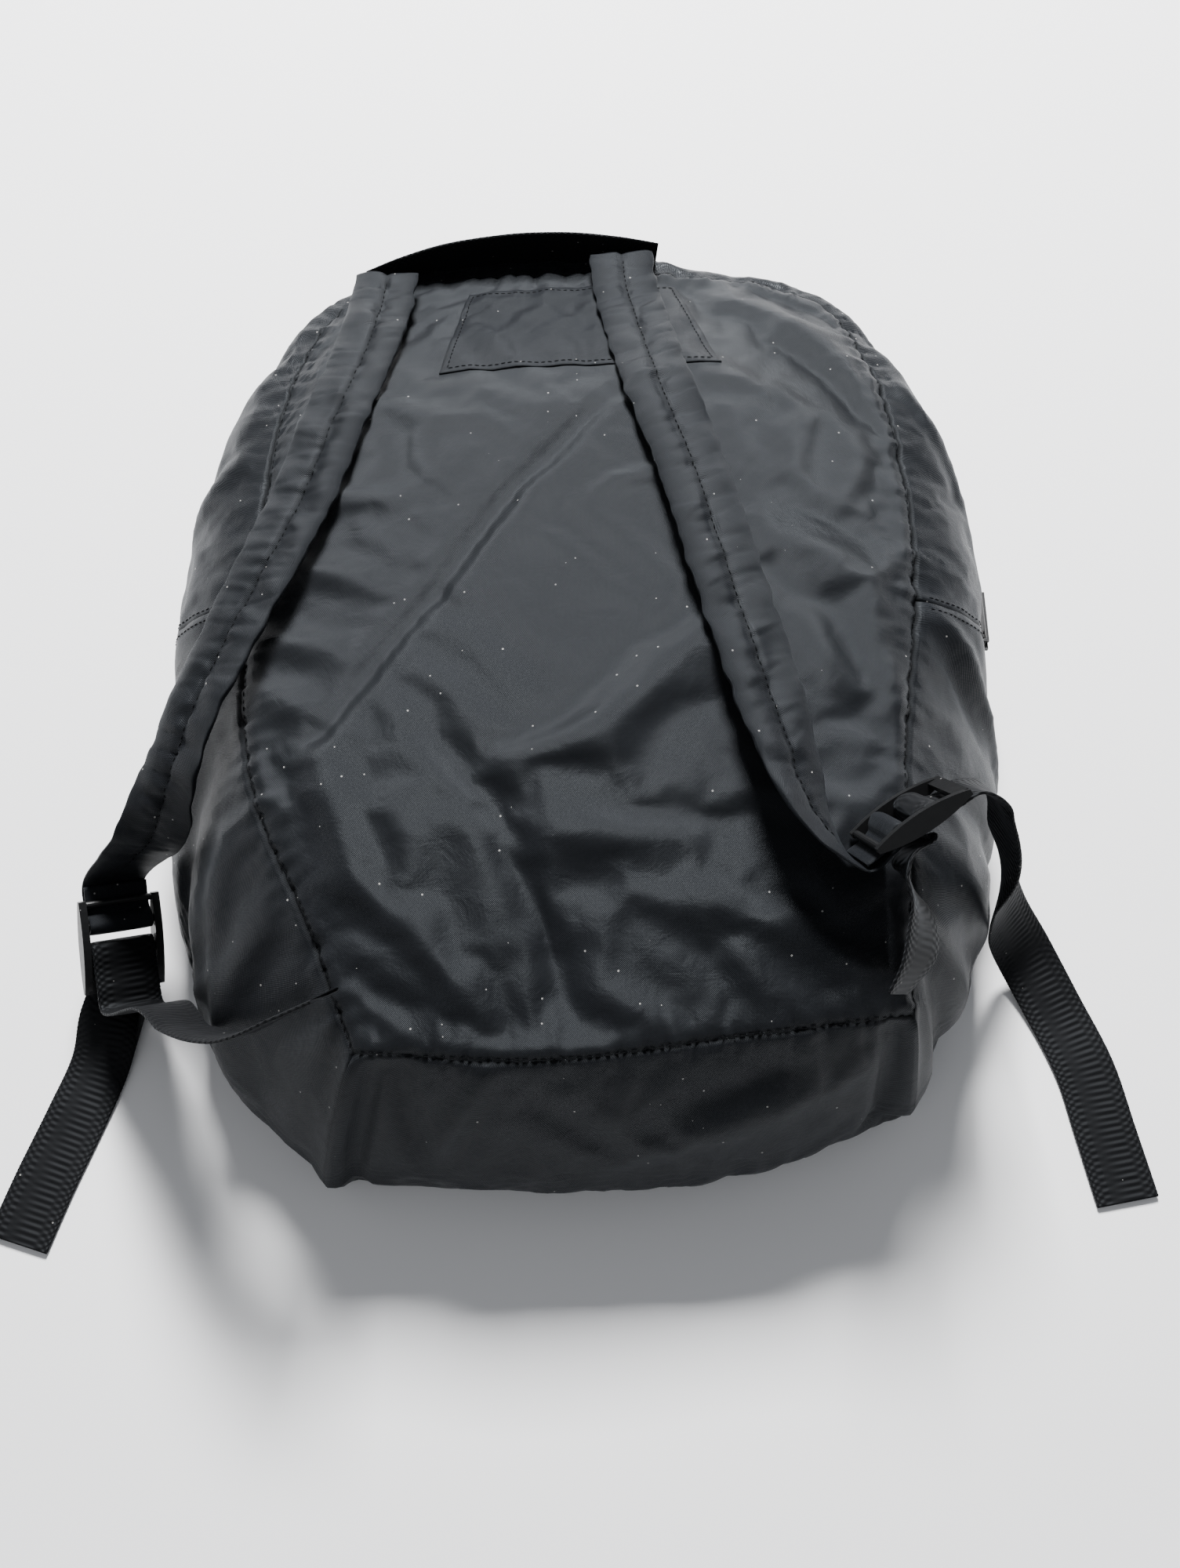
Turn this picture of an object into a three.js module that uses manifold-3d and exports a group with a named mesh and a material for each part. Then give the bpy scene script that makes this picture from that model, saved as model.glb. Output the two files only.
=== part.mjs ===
// Unpadded nylon skate bag with two shoulder straps, lying on its front with the back panel up.
// Millimetres, +Z up out of the back panel, +Y from the bottom end of the bag to its top end.
import * as THREE from "three";
import Module from "manifold-3d";

const wasm = await Module();
wasm.setup();

// ---- driving dimensions ----
const GAP = 0.35; // clearance between pieces that touch in the real bag
const FABRIC = 1.2; // thickness given to the nylon panels
const BAG_WIDTH = 336; // widest part of the bag, gusset to gusset
const BAG_HEIGHT = 394; // bottom end to top end
const SEAM_HEIGHT = 92; // height of the back seam above the floor
const DOME = 26; // how far the back panel rises inside its seam
const MID_HEIGHT = 45; // height of the fullest part of the gussets
const STRAP_WIDTH = 28; // flat sewn shoulder strap
const STRAP_THICK = 2.4;
const WEB_WIDTH = 25; // one inch webbing
const WEB_THICK = 1.4;
const TAIL_LENGTH = 150; // loose webbing beyond each ladder lock
const LOCK_LENGTH = 38;
const RAIL = 3; // width of a ladder lock side rail
const WEB_SLACK = 0.5; // room beside the webbing in its ladder lock
const LOCK_WIDTH = WEB_WIDTH + 2 * (RAIL + WEB_SLACK);
const RAIL_HEIGHT = 6.5;
const PATCH_WIDTH = 118; // lower edge of the reinforcement patch
const PATCH_HEIGHT = 62;
const HANDLE_THICK = 1.6;
const HANDLE_HEIGHT = 85; // middle of the handle band above the floor
const TAPE_WIDTH = 8; // visible part of one zip tape
const TAPE_THICK = 0.7;
const COIL_WIDTH = 2;
const COIL_THICK = 2;
const COIL_GAP = 1.4; // slot the slider neck runs in
const SLIDER_LENGTH = 9;
const SLIDER_WIDTH = 8.6;
const PULL_LENGTH = 24;

// The bag's outline scales from the size it was drawn at.
const SX = BAG_WIDTH / 336;
const SY = BAG_HEIGHT / 394;
const ZIP_RADIUS = BAG_WIDTH / 2; // the arched top of the gusset is half a circle
const ZIP_CENTRE = new THREE.Vector2(-4 * SX, 197 * SY - ZIP_RADIUS);
const ZIP_END = THREE.MathUtils.degToRad(-4); // right end, a little below the centre
const ZIP_FAR = Math.PI - ZIP_END; // left end

// ---- materials ----
function material(name, color, roughness, metalness = 0) {
  const made = new THREE.MeshStandardMaterial({ color, roughness, metalness });
  made.name = name;
  return made;
}
const nylon = () => material("nylon", 0x2b2e33, 0.62);
const webbing = () => material("webbing", 0x121214, 0.85);
const plastic = () => material("buckle_plastic", 0x17181a, 0.42);
const coilPlastic = () => material("zip_coil", 0x101012, 0.5);
const zipMetal = () => material("zip_metal", 0x4a4b4e, 0.35, 0.9);

// ---- solids ----
function node(name, geometry, paint) {
  const mesh = new THREE.Mesh(geometry, paint);
  mesh.name = name;
  return mesh;
}

function fromTriangles(positions, indices) {
  let volume = 0;
  const [a, b, c] = [new THREE.Vector3(), new THREE.Vector3(), new THREE.Vector3()];
  for (let i = 0; i < indices.length; i += 3) {
    a.fromArray(positions, indices[i] * 3);
    b.fromArray(positions, indices[i + 1] * 3);
    c.fromArray(positions, indices[i + 2] * 3);
    volume += a.dot(b.cross(c));
  }
  if (volume < 0)
    for (let i = 0; i < indices.length; i += 3)
      [indices[i + 1], indices[i + 2]] = [indices[i + 2], indices[i + 1]];
  const made = new THREE.BufferGeometry();
  made.setAttribute("position", new THREE.Float32BufferAttribute(positions, 3));
  made.setIndex(indices);
  made.computeVertexNormals();
  return made;
}

// A thick sheet over a surface given by at(u, v); the thickness goes to the inner side.
function sheet(at, across, along, thick, flip = 1) {
  const positions = [];
  const indices = [];
  const id = (layer, i, j) => (layer * (across + 1) + i) * (along + 1) + j;
  const step = 1e-3;
  for (const layer of [0, 1])
    for (let i = 0; i <= across; i++)
      for (let j = 0; j <= along; j++) {
        const [u, v] = [i / across, j / along];
        const p = at(u, v);
        const du = at(Math.min(1, u + step), v).sub(at(Math.max(0, u - step), v));
        const dv = at(u, Math.min(1, v + step)).sub(at(u, Math.max(0, v - step)));
        const n = du.cross(dv).normalize().multiplyScalar(flip * thick * layer);
        positions.push(...p.sub(n).toArray());
      }
  const quad = (a, b, c, d) => indices.push(a, b, c, a, c, d);
  for (let i = 0; i < across; i++)
    for (let j = 0; j < along; j++) {
      quad(id(0, i, j), id(0, i + 1, j), id(0, i + 1, j + 1), id(0, i, j + 1));
      quad(id(1, i, j + 1), id(1, i + 1, j + 1), id(1, i + 1, j), id(1, i, j));
    }
  for (let i = 0; i < across; i++) {
    quad(id(0, i, 0), id(1, i, 0), id(1, i + 1, 0), id(0, i + 1, 0));
    quad(id(0, i + 1, along), id(1, i + 1, along), id(1, i, along), id(0, i, along));
  }
  for (let j = 0; j < along; j++) {
    quad(id(0, 0, j + 1), id(1, 0, j + 1), id(1, 0, j), id(0, 0, j));
    quad(id(0, across, j), id(1, across, j), id(1, across, j + 1), id(0, across, j + 1));
  }
  return fromTriangles(positions, indices);
}

// A thick round-edged panel filling a closed outline; height(x, y) gives its top side.
function panel(outline, rings, centre, height, thick) {
  const count = outline.length;
  const positions = [];
  const indices = [];
  const layerSize = 1 + rings * count;
  for (const layer of [0, 1]) {
    const drop = layer * thick;
    positions.push(centre.x, centre.y, height(centre.x, centre.y) - drop);
    for (let r = 1; r <= rings; r++)
      for (const edge of outline) {
        const x = centre.x + ((edge.x - centre.x) * r) / rings;
        const y = centre.y + ((edge.y - centre.y) * r) / rings;
        positions.push(x, y, height(x, y) - drop);
      }
  }
  const id = (layer, r, k) => layer * layerSize + 1 + (r - 1) * count + (k % count);
  for (let k = 0; k < count; k++) {
    indices.push(0, id(0, 1, k), id(0, 1, k + 1));
    indices.push(layerSize, id(1, 1, k + 1), id(1, 1, k));
    for (let r = 1; r < rings; r++) {
      const [a, b, c, d] = [id(0, r, k), id(0, r + 1, k), id(0, r + 1, k + 1), id(0, r, k + 1)];
      indices.push(a, b, c, a, c, d);
      const [e, f, g, h] = [id(1, r, k), id(1, r, k + 1), id(1, r + 1, k + 1), id(1, r + 1, k)];
      indices.push(e, f, g, e, g, h);
    }
    const [a, b, c, d] = [id(0, rings, k), id(1, rings, k), id(1, rings, k + 1), id(0, rings, k + 1)];
    indices.push(a, b, c, a, c, d);
  }
  return fromTriangles(positions, indices);
}

// A flat band along a path. Each station is { p, w, width, thick }: centre, width direction, size.
function band(stations, samples) {
  const path = new THREE.CatmullRomCurve3(stations.map((s) => s.p), false, "centripetal");
  const widthPath = new THREE.CatmullRomCurve3(stations.map((s) => s.w), false, "centripetal");
  const sizes = new THREE.CatmullRomCurve3(
    stations.map((s) => new THREE.Vector3(s.width, s.thick, 0)),
  );
  const positions = [];
  const indices = [];
  for (let i = 0; i <= samples; i++) {
    const t = i / samples;
    const centre = path.getPoint(t);
    const tangent = path.getTangent(t);
    const k = t * (stations.length - 1);
    const near = Math.min(Math.floor(k), stations.length - 2);
    const w = stations[near].w.clone().lerp(stations[near + 1].w, k - near);
    w.lerp(widthPath.getPoint(t), 0.5);
    w.addScaledVector(tangent, -w.dot(tangent)).normalize();
    const n = tangent.clone().cross(w);
    const size = sizes.getPoint(t);
    for (const [a, b] of [[-1, -1], [1, -1], [1, 1], [-1, 1]]) {
      const corner = centre.clone().addScaledVector(w, (a * size.x) / 2);
      positions.push(...corner.addScaledVector(n, (b * size.y) / 2).toArray());
    }
  }
  for (let i = 0; i < samples; i++)
    for (let c = 0; c < 4; c++) {
      const [a, b] = [i * 4 + c, i * 4 + ((c + 1) % 4)];
      indices.push(a, b, b + 4, a, b + 4, a + 4);
    }
  const last = samples * 4;
  indices.push(0, 2, 1, 0, 3, 2, last, last + 1, last + 2, last, last + 2, last + 3);
  return fromTriangles(positions, indices);
}

// Boolean work on simple solids.
function toSolid(geometry) {
  const seen = new Map();
  const vertices = [];
  const triangles = [];
  const source = geometry.index ? geometry.toNonIndexed() : geometry;
  const position = source.getAttribute("position");
  for (let i = 0; i < position.count; i++) {
    const xyz = [position.getX(i), position.getY(i), position.getZ(i)];
    const key = xyz.map((v) => v.toFixed(4)).join();
    if (!seen.has(key)) {
      seen.set(key, vertices.length / 3);
      vertices.push(...xyz);
    }
    triangles.push(seen.get(key));
  }
  const mesh = new wasm.Mesh({
    numProp: 3,
    vertProperties: new Float32Array(vertices),
    triVerts: new Uint32Array(triangles),
  });
  return new wasm.Manifold(mesh);
}

function joined(geometries) {
  const solid = geometries.map(toSolid).reduce((whole, one) => whole.add(one));
  const mesh = solid.getMesh();
  return fromTriangles(Array.from(mesh.vertProperties), Array.from(mesh.triVerts));
}

function box(size, at) {
  return new THREE.BoxGeometry(...size).translate(...at);
}

// ---- the shape of the bag ----
const smooth = (from, to, value) => THREE.MathUtils.smoothstep(value, from, to);
const spot = (x, y, z = 0) => new THREE.Vector3(x * SX, y * SY, z);
const curve = (points) => new THREE.CatmullRomCurve3(points, false, "centripetal");

// Height of the back panel's outer side: a soft dome that falls away to the top and the bottom.
function backHeight(x, y) {
  const dome = DOME * (1 - (x / (150 * SX)) ** 2) * (1 - ((y - 15) / (225 * SY)) ** 2);
  const top = 18 * smooth(90, 205, y / SY);
  const bottom = 12 * smooth(70, 175, -y / SY);
  return SEAM_HEIGHT + dome - top - bottom;
}

// The back seam, piece by piece, anticlockwise from the right end of the zip.
const seams = {
  top: curve([
    spot(129, 15), spot(130, 60), spot(126, 107), spot(119, 145), spot(106, 178), spot(86, 190),
    spot(50, 196), spot(0, 198), spot(-55, 196), spot(-92, 190), spot(-112, 178), spot(-124, 145),
    spot(-130, 107), spot(-133, 60), spot(-134, 15),
  ]),
  left: curve([spot(-134, 15), spot(-133, -34), spot(-123, -76), spot(-103, -116), spot(-84, -164)]),
  bottom: curve([spot(-84, -164), spot(-15, -167), spot(50, -159), spot(116, -150)]),
  right: curve([spot(116, -150), spot(117, -105), spot(118, -61), spot(125, -10), spot(129, 15)]),
};
function seamPoint(side, t) {
  const p = seams[side].getPoint(t);
  p.z = backHeight(p.x, p.y) - FABRIC - GAP;
  return p;
}

const onArch = (t, radius, z) => {
  const angle = ZIP_END + (ZIP_FAR - ZIP_END) * t;
  const [x, y] = [radius * Math.cos(angle), radius * Math.sin(angle)];
  return new THREE.Vector3(ZIP_CENTRE.x + x, ZIP_CENTRE.y + y, z);
};
const FRONT_INSET = 8; // the front panel is a little smaller than the gusset's fullest line
const archFoot = (t) => onArch(t, ZIP_RADIUS - FRONT_INSET, FABRIC + GAP);
const archEnd = { right: onArch(0, ZIP_RADIUS, MID_HEIGHT), left: onArch(1, ZIP_RADIUS, MID_HEIGHT) };

// Fullest line and foot of the lower gussets, in the same order as their seams.
const middles = {
  left: curve([
    archEnd.left, spot(-171, -40, 45), spot(-163, -95, 43), spot(-142, -148, 40), spot(-98, -192, 34),
  ]),
  bottom: curve([spot(-98, -192, 34), spot(-12, -196, 42), spot(62, -190, 42), spot(122, -169, 36)]),
  right: curve([spot(122, -169, 36), spot(151, -112, 42), spot(165, -45, 46), archEnd.right]),
};
const feet = {
  left: curve([
    archFoot(1), spot(-163, -40, 1.55), spot(-154, -95, 1.55), spot(-134, -146, 1.55),
    spot(-98, -190, 1.55),
  ]),
  bottom: curve([
    spot(-98, -190, 1.55), spot(-12, -194, 1.55), spot(62, -187, 1.55), spot(121, -165, 1.55),
  ]),
  right: curve([spot(121, -165, 1.55), spot(142, -110, 1.55), spot(153, -45, 1.55), archFoot(0)]),
};

// A fold of cloth from foot to seam that passes through the fullest line half way up.
function fold(foot, middle, seam, v) {
  const pull = middle.clone().multiplyScalar(2).addScaledVector(foot, -0.5).addScaledVector(seam, -0.5);
  return foot.clone().multiplyScalar((1 - v) ** 2)
    .addScaledVector(pull, 2 * v * (1 - v))
    .addScaledVector(seam, v * v);
}

function lowerGusset(side, name, across) {
  const inset = 0.01;
  const at = (u, v) => {
    const t = inset + (1 - 2 * inset) * u;
    return fold(feet[side].getPoint(t), middles[side].getPoint(t), seamPoint(side, t), v);
  };
  return node(name, sheet(at, across, 7, FABRIC), nylon());
}

// ---- zip and the gusset strips either side of it ----
const ROW_EDGE = COIL_GAP / 2 + COIL_WIDTH;
const TAPE_EDGE = ROW_EDGE + GAP + TAPE_WIDTH;

function archStrip(name, from, to, radius, thick, paint, cut = 0, across = 44) {
  const at = (u, v) => onArch(cut + u * (1 - 2 * cut), radius, MID_HEIGHT + from + (to - from) * v);
  return node(name, sheet(at, across, 1, thick), paint);
}

// The strip between the zip and the back seam swells outward, most at the two shoulders.
const BULGE = 7;
const CORNER_BULGE = 7;
function zipGussetRear() {
  const at = (u, v) => {
    const low = onArch(u, ZIP_RADIUS, MID_HEIGHT + TAPE_EDGE + GAP);
    const high = seamPoint("top", u);
    const out = new THREE.Vector3(high.x - ZIP_CENTRE.x, high.y - ZIP_CENTRE.y, 0).normalize();
    const swell = BULGE + CORNER_BULGE * Math.sin(2 * Math.PI * u) ** 2;
    const bulge = low.clone().lerp(high, 0.5).addScaledVector(out, swell);
    bulge.z += 4;
    return fold(low, bulge, high, v);
  };
  return node("zip_gusset_rear", sheet(at, 44, 5, FABRIC), nylon());
}

function zipGussetFront() {
  const at = (u, v) => archFoot(u).lerp(onArch(u, ZIP_RADIUS, MID_HEIGHT - TAPE_EDGE - GAP), v);
  return node("zip_gusset_front", sheet(at, 44, 2, FABRIC), nylon());
}

// A block across the zip at one end of it, angle in radians along the arch.
function placeOnArch(object, angle) {
  object.position.set(ZIP_CENTRE.x, ZIP_CENTRE.y, MID_HEIGHT);
  object.rotation.z = angle;
  return object;
}
const STOP_LENGTH = 3;
const stopAngle = (STOP_LENGTH / 2 + GAP) / ZIP_RADIUS; // from the end of the zip to a stop's middle
function zipStop(name, angle) {
  const size = [COIL_THICK + 1, STOP_LENGTH, 2 * ROW_EDGE];
  return placeOnArch(node(name, box(size, [ZIP_RADIUS + 0.4, 0, 0]), zipMetal()), angle);
}

function zipSlider(angle) {
  const outer = ZIP_RADIUS + COIL_THICK - TAPE_THICK + GAP;
  const inner = ZIP_RADIUS - TAPE_THICK - GAP;
  const plate = 1.4;
  const neck = outer - inner + plate;
  const solid = joined([
    box([plate, SLIDER_LENGTH, SLIDER_WIDTH], [outer + plate / 2, 0, 0]),
    box([plate, SLIDER_LENGTH, SLIDER_WIDTH], [inner - plate / 2, 0, 0]),
    box([neck, 3, COIL_GAP - 2 * GAP], [(outer + inner) / 2, 0, 0]),
    // the bail the pull tab hangs on
    box([3.4, 1.2, 1.8], [outer + plate + 1.4, -3, 0]),
    box([3.4, 1.2, 1.8], [outer + plate + 1.4, 3, 0]),
    box([1.2, 7.2, 1.8], [outer + plate + 2.6, 0, 0]),
  ]);
  return placeOnArch(node("zip_slider", solid, zipMetal()), angle);
}

// The pull hangs round the bail and lies back along the closed zip.
function zipPull(angle) {
  const bail = ZIP_RADIUS + COIL_THICK - TAPE_THICK + GAP + 1.4 + 2.6;
  const wall = 1.3;
  const eye = 3.6;
  const parts = [];
  for (const side of [-1, 1])
    parts.push(box([wall, eye + 4.05, 1.6], [bail, eye / 2 + 1.075, side * 2.4]));
  // cross piece between the slider plate and the bail
  parts.push(box([0.9, 1.1, 6.4], [bail - 1.35, -0.4, 0]));
  parts.push(box([wall + 0.7, 1.1, 1.6], [bail - 0.6, -0.4, 2.4]));
  parts.push(box([wall + 0.7, 1.1, 1.6], [bail - 0.6, -0.4, -2.4]));
  parts.push(box([wall, PULL_LENGTH - 6, 6.4], [bail, 5.4 + (PULL_LENGTH - 6) / 2, 0]));
  return placeOnArch(node("zip_pull", joined(parts), zipMetal()), angle);
}

// ---- straps, locks and webbing ----
// The locks' middles are given for this width; a wider lock keeps its resting rail where it is.
const PLACED_WIDTH = 32;
// A ladder lock's own frame: d along its length, w across it, n out of its face.
function frameOf(centre, d, w) {
  const along = new THREE.Vector3(...d).normalize();
  const across = new THREE.Vector3(...w);
  across.addScaledVector(along, -across.dot(along)).normalize();
  const wider = (LOCK_WIDTH - PLACED_WIDTH) / 2;
  const middle = spot(...centre).addScaledVector(across, wider);
  return { centre: middle, d: along, w: across, n: across.clone().cross(along) };
}
const locks = {
  right: frameOf([112, -87, 121], [0.841, 0.501, 0.2], [0.127, -0.542, 0.832]),
  left: frameOf([-189, -103, 27], [0.02, -0.834, -0.552], [-0.832, -0.174, 0.528]),
};
const inLock = (lock, d, n) =>
  lock.centre.clone().addScaledVector(lock.d, d).addScaledVector(lock.n, n);

const STRAP_BAR = -8.5; // the bars' places along the lock, from its middle
const WEB_BAR = 3;
function ladderLock(name, lock) {
  const railPath = new THREE.Shape();
  const half = LOCK_LENGTH / 2;
  railPath.moveTo(-half, -1);
  railPath.quadraticCurveTo(0, -RAIL_HEIGHT, half, -1);
  railPath.lineTo(half, 1);
  railPath.quadraticCurveTo(0, RAIL_HEIGHT, -half, 1);
  railPath.closePath();
  const parts = [];
  for (const side of [-1, 1]) {
    const rail = new THREE.ExtrudeGeometry(railPath, {
      depth: RAIL, bevelEnabled: false, curveSegments: 10,
    });
    rail.translate(0, 0, side * (LOCK_WIDTH / 2 - RAIL / 2) - RAIL / 2);
    parts.push(rail);
  }
  const bar = (at, radius) => {
    const made = new THREE.CylinderGeometry(radius, radius, LOCK_WIDTH - RAIL, 12);
    parts.push(made.rotateX(Math.PI / 2).translate(at, 0, 0));
  };
  bar(-half + 1.6, 1.4);
  bar(STRAP_BAR, 1.6);
  bar(WEB_BAR, 1.9);
  parts.push(box([5, 2, LOCK_WIDTH - RAIL], [half - 2.6, 0.4, 0]));
  const mesh = node(name, joined(parts), plastic());
  const turn = new THREE.Matrix4().makeBasis(lock.d, lock.n, lock.w.clone().negate());
  if (turn.determinant() < 0) turn.makeBasis(lock.d, lock.n, lock.w);
  mesh.quaternion.setFromRotationMatrix(turn);
  mesh.position.copy(lock.centre);
  return mesh;
}

const toVector = (w) => (w.isVector3 ? w.clone() : new THREE.Vector3(...w).normalize());
const station = (p, w, width, thick) => ({
  p: p.isVector3 ? p : spot(...p), w: toVector(w), width, thick,
});

// The strap's end: under the end bar, up round the strap bar and back on itself.
function strapEnd(lock) {
  const places = [
    [-33, -6.4], [-24, -5.6], [-15, -5], [-9, -3.6], [-5.8, -1.4], [-5.6, 1.2], [-8.5, 3.2],
    [-11.7, 1.2], [-13.2, -1.2], [-17.5, -2.7], [-24, -3.3],
  ];
  return places.map(([d, n]) => station(inLock(lock, d, n), lock.w, WEB_WIDTH, 1.3));
}

// Where the straps lie on the back panel they keep this far off it.
const LIFT = 4.2;
const onBack = (x, y, lift = LIFT) => spot(x, y, backHeight(x * SX, y * SY) + lift);

function rightStrap() {
  const flat = [1, 0.35, 0];
  const turned = [0.8, 0.42, -0.45];
  const start = [
    station(onBack(14, 199, 9), flat, STRAP_WIDTH, STRAP_THICK),
    station(onBack(15, 181, 6), flat, STRAP_WIDTH, STRAP_THICK),
    station(onBack(20, 147, 5), flat, STRAP_WIDTH, STRAP_THICK),
    station(onBack(28, 105, 5.5), flat, STRAP_WIDTH, STRAP_THICK),
    station(onBack(41, 58, 6), [1, 0.36, -0.1], STRAP_WIDTH, STRAP_THICK),
    station(onBack(52, 12, 7), [1, 0.36, -0.16], STRAP_WIDTH, STRAP_THICK),
    station(onBack(62, -28, 9), [1, 0.4, -0.25], STRAP_WIDTH, STRAP_THICK),
    station(onBack(70, -60, 12), turned, STRAP_WIDTH - 1, 2),
    station(onBack(77, -84, 15), [0.45, 0.62, -0.62], WEB_WIDTH + 1, 1.6),
  ];
  const lock = locks.right;
  const end = strapEnd({ ...lock, w: lock.w.clone().negate() });
  return node("right_shoulder_strap", band([...start, ...end.slice(1)], 84), nylon());
}

function leftStrap() {
  const start = [
    station(onBack(-90, 186, 10), [1, -0.3, 0.1], STRAP_WIDTH, STRAP_THICK),
    station(onBack(-91, 168, 8), [1, -0.28, 0.1], STRAP_WIDTH, STRAP_THICK),
    station(onBack(-95, 135, 6), [1, -0.25, 0.12], STRAP_WIDTH, STRAP_THICK),
    station(onBack(-104, 95, 6), [1, -0.25, 0.15], STRAP_WIDTH, STRAP_THICK),
    station(onBack(-114, 55, 7.5), [1, -0.3, 0.2], STRAP_WIDTH, STRAP_THICK),
    station([-127, 18, 111], [1, -0.35, 0.3], STRAP_WIDTH, STRAP_THICK),
    station([-140, -14, 108], [0.9, -0.38, 0.4], STRAP_WIDTH, STRAP_THICK),
    station([-151, -40, 101], [0.85, -0.35, 0.5], STRAP_WIDTH, STRAP_THICK),
    station([-160, -59, 87], [0.87, -0.2, 0.45], STRAP_WIDTH - 1, 2),
    station([-170, -72, 67], [0.93, 0, 0.1], WEB_WIDTH + 1, 1.6),
  ];
  const lock = locks.left;
  const end = strapEnd({ ...lock, w: lock.w.clone().negate() });
  return node("left_shoulder_strap", band([...start, ...end.slice(1)], 84), nylon());
}

const web = (p, w) => station(p, w, WEB_WIDTH, WEB_THICK);
const TAIL = TAIL_LENGTH / 150;

function rightWebbing() {
  const lock = locks.right;
  const across = lock.w;
  const through = [
    [-1.2, -9], [-1.6, -3.4], [-0.7, 1.6], [3, 3.1], [7.2, 1.6], [9.4, -1.6], [14.5, -3.2], [22, -3.4],
  ];
  const out = (x, y, z) => spot(x + (x - 150) * (TAIL - 1) * 0.3, -88 + (y + 88) * TAIL, z);
  const path = [
    web(spot(107, -146, 101), [0.5, 0.3, -0.81]),
    web(spot(114, -135, 108), [0.6, 0.25, -0.72]),
    web(spot(115, -122, 112), [0.5, 0.1, -0.82]),
    web(spot(111, -110, 115), [0.3, -0.1, -0.93]),
    web(spot(110.5, -103, 116.5), [-0.02, 0.3, -0.95]),
    ...through.map(([d, n]) => web(inLock(lock, d, n), across.clone().negate())),
    web(spot(143, -78, 117), [-0.1, 0.62, -0.7]),
    web(spot(149, -82, 106), [-0.25, 0.85, -0.35]),
    web(spot(154, -87, 86), [-0.3, 0.9, 0]),
    web(spot(161, -90, 55), [0.3, 0.9, 0.2]),
    web(spot(170, -94, 26), [0.6, 0.75, 0.2]),
    web(out(181, -103, 8), [0.84, 0.52, 0.1]),
    web(out(191, -122, 2), [0.9, 0.43, 0]),
    web(out(201, -148, 1.2), [0.93, 0.3, 0]),
    web(out(206, -174, 1.2), [0.98, 0.15, 0]),
    web(out(211, -201, 1.2), [1, 0.1, 0]),
  ];
  return node("right_webbing", band(path, 104), webbing());
}

function leftWebbing() {
  const lock = locks.left;
  const through = [
    [24, 9], [16, 6], [9, 3.9], [3, 3.1], [-0.9, 1.4], [-1, -1.2], [3, -3.3], [9, -4.4], [16, -6], [22, -7.5],
  ];
  const out = (x, y, z) => spot(x, -118 + (y + 118) * TAIL, z);
  const across = lock.w.clone().negate();
  const path = [
    web(spot(-91, -148, 105.5), [-0.15, 0.3, -0.94]),
    web(spot(-106, -153, 99), [-0.1, 0.3, -0.94]),
    web(spot(-128, -156, 82), [0.05, 0.35, -0.93]),
    web(spot(-149, -148, 63), [0.2, 0.38, -0.9]),
    web(spot(-163, -136, 49), [0.5, 0.35, -0.79]),
    ...through.map(([d, n]) => web(inLock(lock, d, n), across)),
    web(out(-196, -131, 7), [0.9, -0.25, -0.2]),
    web(out(-199, -146, 2), [0.9, -0.4, 0]),
    web(out(-206, -168, 1.2), [0.9, -0.42, 0]),
    web(out(-215, -194, 1.2), [0.92, -0.36, 0]),
    web(out(-222, -217, 1.2), [0.95, -0.28, 0]),
  ];
  return node("left_webbing", band(path, 104), webbing());
}

function grabHandle() {
  const up = [0, -0.16, 1];
  const places = [[-99, 196], [-84, 199.5], [-64, 203], [-38, 205.5], [-12, 206.2], [10, 206], [30, 205]];
  const path = places.map(([x, y]) => station([x, y, HANDLE_HEIGHT], up, WEB_WIDTH, HANDLE_THICK));
  return node("grab_handle", band(path, 30), webbing());
}

// ---- panels ----
function closedSeam() {
  const points = [];
  const walk = (side, steps) => {
    for (let i = 0; i < steps; i++) points.push(seams[side].getPoint(i / steps));
  };
  walk("top", 36);
  walk("left", 12);
  walk("bottom", 10);
  walk("right", 10);
  return points;
}

function backPanel() {
  const centre = spot(-4, 10);
  return node("back_panel", panel(closedSeam(), 7, centre, backHeight, FABRIC), nylon());
}

function frontPanel() {
  const points = [];
  for (let i = 0; i < 44; i++) points.push(archFoot(i / 44));
  for (const [side, steps] of [["left", 12], ["bottom", 12], ["right", 12]])
    for (let i = 0; i < steps; i++) points.push(feet[side].getPoint(i / steps));
  return node("front_panel", panel(points, 2, spot(-4, 10), () => FABRIC, FABRIC), nylon());
}

function reinforcementPatch() {
  const [topShare, centreLow, centreHigh] = [0.78, -4, -8];
  const low = 122 * SY;
  const at = (u, v) => {
    const width = PATCH_WIDTH * (1 + (topShare - 1) * v);
    const x = (centreLow + (centreHigh - centreLow) * v) * SX + (u - 0.5) * width;
    const y = low + v * PATCH_HEIGHT + (u - 0.5) * 5;
    return new THREE.Vector3(x, y, backHeight(x, y) + GAP + 0.8);
  };
  return node("reinforcement_patch", sheet(at, 14, 8, 0.6), nylon());
}

// ---- assembly ----
const shell = new THREE.Group();
shell.add(
  backPanel(), frontPanel(), reinforcementPatch(),
  lowerGusset("bottom", "bottom_gusset", 12),
  lowerGusset("left", "left_side_gusset", 14),
  lowerGusset("right", "right_side_gusset", 14),
  zipGussetRear(), zipGussetFront(),
);

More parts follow.
